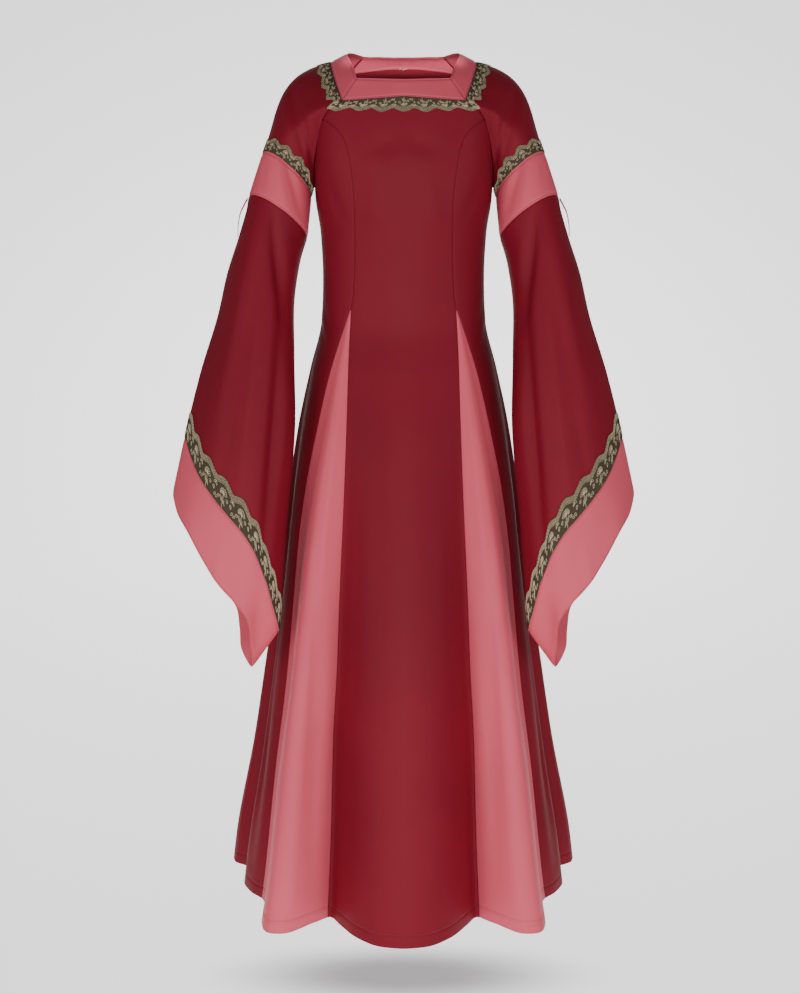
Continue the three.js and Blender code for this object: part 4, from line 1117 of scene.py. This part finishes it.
def petal(x, y, angle, length, girth, steps=11):
    """A slim loop that starts and ends in one point."""
    t = np.linspace(0, 1, steps)
    out = np.sin(math.pi * t) * length
    side = np.sin(2 * math.pi * t) * girth
    return [
        (x + o * math.sin(angle) + w * math.cos(angle), y + o * math.cos(angle) - w * math.sin(angle))
        for o, w in zip(out, side)
    ]


# across as a share of one repeat, down as a share of the lace's width, lean
LEAVES = ((-0.46, 0.28, 0.4), (-0.5, 0.12, -0.5), (0.4, 0.12, -0.8), (-0.4, 0.5, -0.9), (0.4, 0.48, 0.7))


def motif(step, width):
    """One flower of the repeat in millimetres from the sewn edge: stem, bars, curls, fan, leaves."""
    lines = [[(0, 0.03 * width), (0.03 * step, 0.12 * width), (-0.01 * step, 0.2 * width), (0, 0.47 * width)]]
    for k in range(4):
        x = (-0.12 + 0.06 * k) * step
        y = (0.15 + 0.02 * k) * width
        lines.append([(x, y), (x + 0.05 * step, y + 0.06 * width), (x + 0.06 * step, y + 0.17 * width)])
    lines.append(spiral(-0.22 * step, 0.36 * width, 0.4, 0.075 * step))
    lines.append(spiral(0.24 * step, 0.3 * width, 2.4, 0.075 * step))
    lines.append(spiral(0.14 * step, 0.47 * width, 4.0, 0.05 * step))
    for angle in (-1.3, -0.78, -0.26, 0.26, 0.78, 1.3):
        lines.append(petal(0, 0.47 * width, angle, 0.19 * width, 0.034 * width))
    for x, y, angle in LEAVES:
        lines.append(petal(x * step, y * width, angle, 0.13 * width, 0.036 * width))
    return lines


def resample(line, count):
    """The line again with evenly spaced points."""
    line = np.array(line, float)
    run = run_of(line)
    at = np.linspace(0, run[-1], count)
    return np.stack([np.interp(at, run, line[:, axis]) for axis in range(2)], -1)


def thread_mesh(lines, place, width, height, lift, closed=False):
    """Half-round threads along lines of (share along, share across), all of one point count."""
    lines = np.array(lines)
    points, normals = place(lines[..., 0].ravel(), lines[..., 1].ravel(), lift)
    points = points.reshape(lines.shape[:2] + (3,))
    normals = normals.reshape(points.shape)
    if closed:
        tangent = np.roll(points, -1, 1) - np.roll(points, 1, 1)
    else:
        tangent = np.gradient(points, axis=1)
    side = unit(np.cross(normals, tangent) + 1e-9) * width / 2
    verts = np.stack([points - side, points + normals * height, points + side], 2)
    count, steps = points.shape[:2]
    index = np.arange(count * steps * 3).reshape(count, steps, 3)
    if closed:
        index = np.concatenate([index, index[:, :1]], 1)
    faces = [
        np.stack([a[:, :-1], b[:, :-1], b[:, 1:], a[:, 1:]], -1).reshape(-1, 4)
        for a, b in ((index[..., 0], index[..., 1]), (index[..., 1], index[..., 2]))
    ]
    return verts.reshape(-1, 3), np.concatenate(faces)[:, ::-1]


def joined(parts):
    """Several (points, faces) as one."""
    offset = np.cumsum([0] + [len(verts) for verts, _ in parts])
    return np.concatenate([v for v, _ in parts]), np.concatenate([f + o for (_, f), o in zip(parts, offset)])


RINGS = 11  # small ringed dots along one scallop
RING_SIZE = 0.42  # their radius as a share of their spacing
RING_POINTS = 8
RING_ROWS = (1.55, 4.1)  # two rows of them, in from the scalloped edge in ring radii
CORD_INSET = 6.1  # and the cord behind them
CORD_STEPS = 22  # to one repeat
LINE_POINTS = 12  # points to one line of a flower


THREAD_HEIGHT = 0.4  # how far a thread stands up from the net, and one of the fine rings
RING_HEIGHT = 0.35


def embroidery(place, total, lace, repeats):
    """Two rows of fine rings along the scallops, a cord behind them, bars and the flowers."""
    width, thread = lace["width"], lace["thread"]
    step = total / repeats
    head = LACE_LIFT + NET
    parts = []
    one = np.linspace(0, 1, 200) / repeats
    edge = np.stack([one * total, profile(one, repeats, lace) * width], -1)
    at = resample(edge, RINGS + 1)[:-1, 0] / total + 0.5 * step / RINGS / total
    starts = np.arange(repeats)[:, None] / repeats
    centres = (starts + at).ravel()
    ring = np.linspace(0, 2 * math.pi, RING_POINTS, endpoint=False)
    radius = step / RINGS * RING_SIZE
    rim = profile(centres, repeats, lace)[:, None]
    for inset in RING_ROWS:
        u = centres[:, None] + np.cos(ring) * radius / total
        d = rim - (inset - np.sin(ring)) * radius / width
        parts.append(thread_mesh(np.stack([u, d], -1), place, thread, RING_HEIGHT, head, True))
    run = np.linspace(0, 1, repeats * CORD_STEPS + 1)
    line = np.stack([run, profile(run, repeats, lace) - CORD_INSET * radius / width], -1)
    parts.append(thread_mesh(line[None], place, thread, THREAD_HEIGHT, head))
    flowers = [
        np.stack([(k + 0.5) / repeats + line[:, 0] / total, np.clip(line[:, 1] / width, 0.01, 0.98)], -1)
        for line in (resample(line, LINE_POINTS) for line in motif(step, width))
        for k in range(repeats)
    ]
    parts.append(thread_mesh(flowers, place, thread * 1.5, THREAD_HEIGHT, head))
    return joined(parts)


def net_grid(place, lace, repeats, closed):
    """The net's outer face, cut to the scallops."""
    columns = repeats * SCALLOP_STEPS
    u = around(columns) if closed else np.linspace(0, 1, columns + 1)
    d = NET_ROWS[:, None] * profile(u, repeats, lace)[None]
    grid_u = np.broadcast_to(u, d.shape)
    points, _ = place(grid_u.ravel(), d.ravel(), LACE_LIFT + NET)
    points = points.reshape(d.shape + (3,))
    return points[::-1] if closed else points


def make_lace(name, fitted, lace, closed=False, sides=(1,)):
    """A net that stands for its node, and the embroidery that lies on it."""
    place, total = fitted
    repeats = round(total / lace["repeat"])
    grid = net_grid(place, lace, repeats, closed)
    verts, faces = embroidery(place, total, lace, repeats)
    for side in sides:
        node = name if len(sides) == 1 else f"{name}_left" if side > 0 else f"{name}_right"
        made = shell(f"{node}_net", grid if side > 0 else flipped(grid), NET, closed, finish_for("net"))
        turn = faces if side > 0 else faces[:, ::-1]
        worked = mesh_object(f"{node}_embroidery", verts * MM * (side, 1, 1), turn, None, finish_for("gold"))
        for obj in (worked, made):
            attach(obj, "root")
        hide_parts(node)


# ---------------------------------------------------------------- stitches
def stitch_group():
    """Geometry nodes that set small thread stitches along the edges of a mesh."""
    tree = bpy.data.node_groups.new("stitch_run", "GeometryNodeTree")
    sockets = {}
    for name, kind in (
        ("Geometry", "NodeSocketGeometry"),
        ("Spacing", "NodeSocketFloat"),
        ("Length", "NodeSocketFloat"),
        ("Thickness", "NodeSocketFloat"),
        ("Thread", "NodeSocketMaterial"),
    ):
        sockets[name] = tree.interface.new_socket(name, in_out="INPUT", socket_type=kind).identifier
    tree.interface.new_socket("Geometry", in_out="OUTPUT", socket_type="NodeSocketGeometry")
    given = add_node(tree, "NodeGroupInput").outputs
    curve = add_node(tree, "GeometryNodeMeshToCurve", [("Mesh", given["Geometry"])])
    run = [("Curve", curve.outputs["Curve"]), ("Length", given["Spacing"])]
    spaced = add_node(tree, "GeometryNodeResampleCurve", run, mode="LENGTH")
    bead = add_node(tree, "GeometryNodeMeshIcoSphere", Radius=0.5, Subdivisions=1)
    along = [("Vector", add_node(tree, "GeometryNodeInputTangent").outputs["Tangent"])]
    turn = add_node(tree, "FunctionNodeAlignRotationToVector", along, axis="X")
    sizes = [("X", given["Length"]), ("Y", given["Thickness"]), ("Z", given["Thickness"])]
    size = add_node(tree, "ShaderNodeCombineXYZ", sizes)
    placed = add_node(
        tree,
        "GeometryNodeInstanceOnPoints",
        [
            ("Points", spaced.outputs["Curve"]),
            ("Instance", bead.outputs["Mesh"]),
            ("Rotation", turn.outputs["Rotation"]),
            ("Scale", size.outputs["Vector"]),
        ],
    )
    real = add_node(tree, "GeometryNodeRealizeInstances", [("Geometry", placed.outputs["Instances"])])
    dye_with = [("Geometry", real.outputs["Geometry"]), ("Material", given["Thread"])]
    dyed = add_node(tree, "GeometryNodeSetMaterial", dye_with)
    add_node(tree, "NodeGroupOutput", [("Geometry", dyed.outputs["Geometry"])])
    return tree, sockets


def stitched(name, lines, group, thread, size):
    """Runs the stitch nodes along closed or open lines and keeps the result as a plain mesh."""
    tree, sockets = group
    verts, edges = [], []
    for line, closed in lines:
        first = len(verts)
        verts += (line * MM).tolist()
        edges += [(first + k, first + k + 1) for k in range(len(line) - 1)]
        if closed:
            edges.append((len(verts) - 1, first))
    mesh = bpy.data.meshes.new(f"{name}_path")
    mesh.from_pydata(verts, edges, [])
    path = bpy.data.objects.new(f"{name}_path", mesh)
    bpy.context.scene.collection.objects.link(path)
    modifier = path.modifiers.new("stitches", "NODES")
    modifier.node_group = tree
    for key, value in zip(("Spacing", "Length", "Thickness"), size):
        modifier[sockets[key]] = value
    modifier[sockets["Thread"]] = finish_for(thread)
    graph = bpy.context.evaluated_depsgraph_get()
    made = bpy.data.meshes.new_from_object(path.evaluated_get(graph))
    made.polygons.foreach_set("use_smooth", [True] * len(made.polygons))
    obj = bpy.data.objects.new(name, made)
    bpy.context.scene.collection.objects.link(obj)
    bpy.data.objects.remove(path)
    if not len(made.polygons):
        raise RuntimeError(f"{name} has no stitches")
    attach(obj, "root")
    return obj


STITCH_ROW = 4  # row of a band's grid that lies 3 mm in from its edge
HEM_STITCH_ROW = len(HEM_ROWS) - 3  # rows up from the hem to its stitch line


THREAD_LIFT = 0.15  # the stitches' middle line above the cloth


def stitch_lines(grids, rows, sides=(1, -1)):
    """Rows of grids on the wearer's left, or on both sides, and whether each row is closed."""
    lines = []
    for grid, closed in grids:
        raised = grid + grid_normals(grid, closed) * THREAD_LIFT
        lines += [(raised[row] * (side, 1, 1), closed) for row in rows for side in sides]
    return lines


TACKS = ((-5, 0), (0, -1.4), (5, -0.2))  # place across and drop of each tack
TACK_SIZE = (0.0012, 0.0022, 0.0013)  # metres: spacing, length and thickness of its stitches
TACK_REACH = 1.2  # half a tack's length, and its slant from end to end
TACK_SLANT = 0.6
TACK_LIFT = 0.4  # off the inside of the band


def tacks():
    """Three short bars of thread inside the back neck, at its centre."""
    band = neck_band("back")
    inside = band - grid_normals(band) * (FACED + TACK_LIFT)
    middle = inside[-3, band.shape[1] // 2]
    lines = []
    for across, drop in TACKS:
        ends = [[across - TACK_REACH, 0, drop], [across + TACK_REACH, 0, drop + TACK_SLANT]]
        lines.append((middle + np.array(ends), False))
    return lines


# ---------------------------------------------------------------- operators
def dye_option(name, description, code):
    """A colour that a user would change."""
    start = srgb(code)[:3]
    return FloatVectorProperty(name=name, description=description, subtype="COLOR", size=3, default=start)


def gloss_option(name, description, start):
    """A roughness that a user would change."""
    return FloatProperty(name=name, description=description, default=start, min=0.1, max=1, subtype="FACTOR")


class DRESS_PG_look(PropertyGroup):
    """Colours and surface sizes that a user would change"""

    burgundy: dye_option("Burgundy", "Satin of bodice, skirt and sleeves", "#731222")
    rose: dye_option("Rose", "Satin of bands, cuffs and godets", "#C85060")
    lace_net: dye_option("Lace net", "Dark net under the embroidery", "#4B4231")
    lace_thread: dye_option("Lace thread", "Embroidery of the lace", "#BFAE8C")
    burgundy_roughness: gloss_option("Burgundy roughness", "Gloss of the burgundy satin", 0.56)
    rose_roughness: gloss_option("Rose roughness", "Gloss of the rose satin", 0.5)
    net_mesh: FloatProperty(
        name="Net mesh",
        description="Size of one mesh of the tulle",
        default=0.0011,
        min=0.0004,
        max=0.004,
        unit="LENGTH",
    )


class DRESS_OT_body(Operator):
    """Builds the burgundy panels of bodice and skirt"""

    bl_idname = "dress.body"
    bl_label = "Body Panels"

    def execute(self, context):
        make_cloth("front_centre_cloth", "front_centre_panel", front_centre(), SATIN, "burgundy")
        make_cloth("back_centre_cloth", "back_centre_panel", back_centre(), SATIN, "burgundy")
        make_pair("front_side_panel", front_side(), SATIN, "burgundy")
        make_pair("back_side_panel", back_side(), SATIN, "burgundy")
        return {"FINISHED"}


class DRESS_OT_godets(Operator):
    """Builds the two rose godets of the front"""

    bl_idname = "dress.godets"
    bl_label = "Godets"

    def execute(self, context):
        make_pair("front_godet", godet(), SATIN, "rose")
        return {"FINISHED"}


class DRESS_OT_neck(Operator):
    """Builds the square neck band of four mitred pieces"""

    bl_idname = "dress.neck"
    bl_label = "Neck Band"

    def execute(self, context):
        make_cloth("neck_band_front_cloth", "neck_band_front", neck_band("front"), FACED, "rose")
        make_cloth("neck_band_back_cloth", "neck_band_back", neck_band("back"), FACED, "rose")
        make_pair("neck_band", neck_band("side"), FACED, "rose")
        return {"FINISHED"}


class DRESS_OT_sleeves(Operator):
    """Builds raglan sleeves, arm bands, bell sleeves, straps and cuffs"""

    bl_idname = "dress.sleeves"
    bl_label = "Sleeves"

    def execute(self, context):
        make_pair("raglan_sleeve", raglan()[0], SATIN, "burgundy", True)
        make_pair("arm_band", arm_band(), FACED, "rose", True)
        make_pair("lower_sleeve", bell_sleeve(), SATIN, "burgundy", True)
        make_pair("cuff_band", cuff(), FACED, "rose", True)
        make_pair("sleeve_strap", strap(), SATIN, "rose")
        return {"FINISHED"}


class DRESS_OT_lace(Operator):
    """Builds the scalloped lace of neck, arms and cuffs with its embroidery"""

    bl_idname = "dress.lace"
    bl_label = "Lace"

    def execute(self, context):
        shoulder, _, front, back = raglan()
        neck = NECK_LACE["width"]
        wide = CUFF_LACE["width"]
        sides = (1, -1)
        for name, panel in (("neck_lace_front", front_centre()), ("neck_lace_back", back_centre())):
            make_lace(name, centre_place(bed(panel, rows=LACE_ROWS), neck), NECK_LACE)
        upper = shoulder_place(bed(shoulder, closed=True), neck, front, back)
        make_lace("neck_lace", upper, NECK_LACE, False, sides)
        make_lace("arm_lace", ring_place(bed(shoulder, True, True), neck), NECK_LACE, True, sides)
        make_lace("cuff_lace", ring_place(bed(bell_sleeve(), True, True), wide), CUFF_LACE, True, sides)
        return {"FINISHED"}


class DRESS_OT_stitching(Operator):
    """Sews the topstitching of bands and cuffs, the hem and the tacks inside the back neck"""

    bl_idname = "dress.stitching"
    bl_label = "Stitching"

    spacing: FloatProperty(
        name="Spacing", description="From stitch to stitch", default=0.0036, min=0.001, unit="LENGTH"
    )
    length: FloatProperty(
        name="Length", description="Length of one stitch", default=0.0027, min=0.0005, unit="LENGTH"
    )
    thickness: FloatProperty(
        name="Thickness", description="Thickness of the thread", default=0.0009, min=0.0001, unit="LENGTH"
    )

    def execute(self, context):
        group = stitch_group()
        size = (self.spacing, self.length, self.thickness)
        sewn_rows = (STITCH_ROW, -1 - STITCH_ROW)
        hem_row = (-1 - HEM_STITCH_ROW,)
        rose = stitch_lines([(neck_band("front"), False), (neck_band("back"), False)], sewn_rows, (1,))
        for row in sewn_rows:
            rose += stitch_lines([(neck_band("side"), False), (arm_band(), True), (cuff(), True)], (row,))
        rose += stitch_lines([(godet(), False)], hem_row)
        burgundy = stitch_lines([(front_centre(), False), (back_centre(), False)], hem_row, (1,))
        burgundy += stitch_lines([(front_side(), False), (back_side(), False)], hem_row)
        stitched("rose_stitching", rose, group, "rose_thread", size)
        stitched("burgundy_stitching", burgundy, group, "burgundy_thread", size)
        stitched("back_neck_tacks", tacks(), group, "white_thread", TACK_SIZE)
        bpy.data.node_groups.remove(group[0])
        return {"FINISHED"}


# ---------------------------------------------------------------- stage, in metres
LENS = 61.63  # millimetres, as the sensor's width
SENSOR = 36
CAMERA_AT = (-0.0061, -2.948, -0.112)
CAMERA_TILT = 78  # degrees up from straight down
# name, place, aim, size across and down, spread in degrees, power
LAMPS = (
    ("key_right", (-2.62, -2.18, -0.58), (0, 0, -0.7), (1.6, 1.6), 180, 45),
    ("key_left", (2.62, -2.18, -0.58), (0, 0, -0.7), (1.6, 1.6), 180, 39),
    ("front", (0, -2.6, -0.62), (0, 0, -0.7), (1.2, 1.2), 180, 41),
    # a narrow strip that reaches over the front band to the inside of the back band
    ("neck_strip", (0, -1.0, 0.075), (0, 0.085, 0.003), (0.2, 0.012), 2, 0.03),
)
FLOOR = -1.655  # the dress floats over the floor as on an unseen figure
BOWL_FLAT = 3.2  # the floor is level this far out, then bends up to a wall on every side
BOWL_BEND = 2.2
BOWL_TOP = 5.0
BOWL_TURNS = 64
BOWL_STEPS = 16
GLOW = 2.3  # painted light: the paper glows as if lit from lamps that aren't built
GLOW_RIM = 0.62  # share of it that is left at the far end
GLOW_REACH = 3.6
GLOW_CENTRE = (0, 4.6, -1.4)
GLOW_SCALE = (1, 0.6, 1.4)
LIT_WEDGE = (0.255, 0.4)  # distance out over distance ahead where that light ends
WEDGE_AT = (0.05, 2.95)  # the wedge's tip, out and towards the front
WEDGE_LEAST = 0.02  # distance ahead below which the wedge grows no narrower
UNLIT = 0.05  # light left outside the wedge
SKY = 0.28  # strength of the even light from all round
PAINTED_SHADOW = 0.2  # painted shadow: share of the glow left under the dress
PAINTED_SHADOW_AT = (0, -0.01, FLOOR)
PAINTED_SHADOW_SIZE = (0.34, 0.12, 0.25)
PAINTED_SHADOW_EDGE = (0.25, 1.25)  # where the painted shadow starts to fade and ends, as a share of its size


class DRESS_OT_stage(Operator):
    """Sets the camera, a pale backdrop and soft studio lights"""

    bl_idname = "dress.stage"
    bl_label = "Stage"

    def execute(self, context):
        scene = context.scene
        camera = bpy.data.objects.new("camera", bpy.data.cameras.new("camera"))
        camera.data.lens = LENS
        camera.data.sensor_width = SENSOR
        camera.location = CAMERA_AT
        camera.rotation_euler = (math.radians(CAMERA_TILT), 0, 0)
        scene.collection.objects.link(camera)
        scene.camera = camera
        backdrop()
        for row in LAMPS:
            lamp(*row)
        world = bpy.data.worlds.new("studio")
        scene.world = world
        world.use_nodes = True
        sky = world.node_tree.nodes["Background"].inputs
        sky["Color"].default_value = srgb("#E6E6E5")
        sky["Strength"].default_value = SKY
        return {"FINISHED"}


def lamp(name, at, aim, size, spread, power):
    """An area light that isn't seen itself."""
    light = bpy.data.lights.new(name, "AREA")
    light.shape = "RECTANGLE"
    light.size, light.size_y = size
    light.spread = math.radians(spread)
    light.energy = power
    obj = bpy.data.objects.new(name, light)
    obj.location = at
    obj.rotation_euler = (Vector(aim) - Vector(at)).to_track_quat("-Z", "Y").to_euler()
    obj.visible_camera = False
    bpy.context.scene.collection.objects.link(obj)


def backdrop():
    """A pale studio bowl: level floor, soft bend and wall all round."""
    outline = [(0.0001, FLOOR), (1.0, FLOOR), (2.0, FLOOR), (BOWL_FLAT, FLOOR)]
    for angle in np.linspace(0, math.pi / 2, BOWL_STEPS + 1)[1:]:
        outline.append((BOWL_FLAT + BOWL_BEND * math.sin(angle), FLOOR + BOWL_BEND * (1 - math.cos(angle))))
    outline.append((BOWL_FLAT + BOWL_BEND, BOWL_TOP))
    turns = np.linspace(0, 2 * math.pi, BOWL_TURNS, endpoint=False)
    verts = [(out * math.sin(turn), -out * math.cos(turn), z) for out, z in outline for turn in turns]
    index = np.arange(len(verts)).reshape(len(outline), -1)
    index = np.concatenate([index, index[:, :1]], 1)
    bowl = mesh_object("backdrop", np.array(verts), grid_faces(index)[:, TURNED])
    bowl.data.materials.append(paper_sweep())


def paper_sweep():
    """Matt grey paper with painted light: it glows softly behind the dress, and a painted shadow darkens it
    under the dress.
    """
    material, tree = new_material("pale_grey_paper_sweep")
    place = add_node(tree, "ShaderNodeTexCoord").outputs["Object"]
    # distances from the glow's centre and from the painted shadow's centre
    reaches = []
    painted_shadow_scale = [1 / size for size in PAINTED_SHADOW_SIZE]
    for centre, scale in ((GLOW_CENTRE, GLOW_SCALE), (PAINTED_SHADOW_AT, painted_shadow_scale)):
        moved = add_node(tree, "ShaderNodeVectorMath", [(0, place), (1, centre)], operation="SUBTRACT")
        sized = [(0, moved.outputs["Vector"]), (1, scale)]
        sized = add_node(tree, "ShaderNodeVectorMath", sized, operation="MULTIPLY")
        reach = add_node(tree, "ShaderNodeVectorMath", [(0, sized.outputs["Vector"])], operation="LENGTH")
        reaches.append(reach.outputs["Value"])
    axes = add_node(tree, "ShaderNodeSeparateXYZ", [("Vector", place)]).outputs
    out, ahead = axes["X"], axes["Y"]
    out = add_node(tree, "ShaderNodeMath", [(0, out)], operation="ABSOLUTE").outputs["Value"]
    out = add_node(tree, "ShaderNodeMath", [(0, out), (1, WEDGE_AT[0])], operation="ADD").outputs["Value"]
    ahead = add_node(tree, "ShaderNodeMath", [(0, ahead), (1, WEDGE_AT[1])], operation="ADD").outputs["Value"]
    floor = [(0, ahead), (1, WEDGE_LEAST)]
    ahead = add_node(tree, "ShaderNodeMath", floor, operation="MAXIMUM").outputs["Value"]
    wedge = add_node(tree, "ShaderNodeMath", [(0, out), (1, ahead)], operation="DIVIDE").outputs["Value"]
    # painted light on the paper: the glow falls off from behind the dress, ends outside the wedge and is
    # darkened by the painted shadow
    glow = GLOW
    for value, (near, far), first, last in (
        (reaches[0], (0, GLOW_REACH), 1, GLOW_RIM),
        # the painted shadow under the dress
        (reaches[1], PAINTED_SHADOW_EDGE, PAINTED_SHADOW, 1),
        (wedge, LIT_WEDGE, 1, UNLIT),
    ):
        ends = [("Value", value), ("From Min", near), ("From Max", far), ("To Min", first), ("To Max", last)]
        part = add_node(tree, "ShaderNodeMapRange", ends, interpolation_type="SMOOTHSTEP").outputs["Result"]
        glow = add_node(tree, "ShaderNodeMath", [(0, glow), (1, part)], operation="MULTIPLY").outputs["Value"]
    surface = add_node(
        tree,
        "ShaderNodeBsdfPrincipled",
        [("Emission Strength", glow)],
        Base_Color=srgb("#A4A4A3"),
        Roughness=0.95,
        Specular_IOR_Level=0.05,
        Emission_Color=srgb("#FFFFFF"),
    )
    add_node(tree, "ShaderNodeOutputMaterial", [("Surface", surface.outputs["BSDF"])])
    return material


class DRESS_PT_panel(Panel):
    """Lists the builders of the dress"""

    bl_label = "Medieval Dress"
    bl_idname = "DRESS_PT_panel"
    bl_space_type = "VIEW_3D"
    bl_region_type = "UI"
    bl_category = "Dress"

    def draw(self, context):
        look = context.scene.dress_look
        for name in DRESS_PG_look.__annotations__:
            self.layout.prop(look, name)
        for builder in BUILDERS:
            self.layout.operator(builder.bl_idname)


BUILDERS = (
    DRESS_OT_body,
    DRESS_OT_godets,
    DRESS_OT_neck,
    DRESS_OT_sleeves,
    DRESS_OT_lace,
    DRESS_OT_stitching,
    DRESS_OT_stage,
)
CLASSES = (DRESS_PG_look,) + BUILDERS + (DRESS_PT_panel,)


def register():
    for cls in CLASSES:
        bpy.utils.register_class(cls)
    bpy.types.Scene.dress_look = PointerProperty(type=DRESS_PG_look)


def unregister():
    del bpy.types.Scene.dress_look
    for cls in reversed(CLASSES):
        bpy.utils.unregister_class(cls)


def main():
    register()
    for builder in BUILDERS:
        group, name = builder.bl_idname.split(".")
        getattr(getattr(bpy.ops, group), name)()


if __name__ == "__main__":
    main()
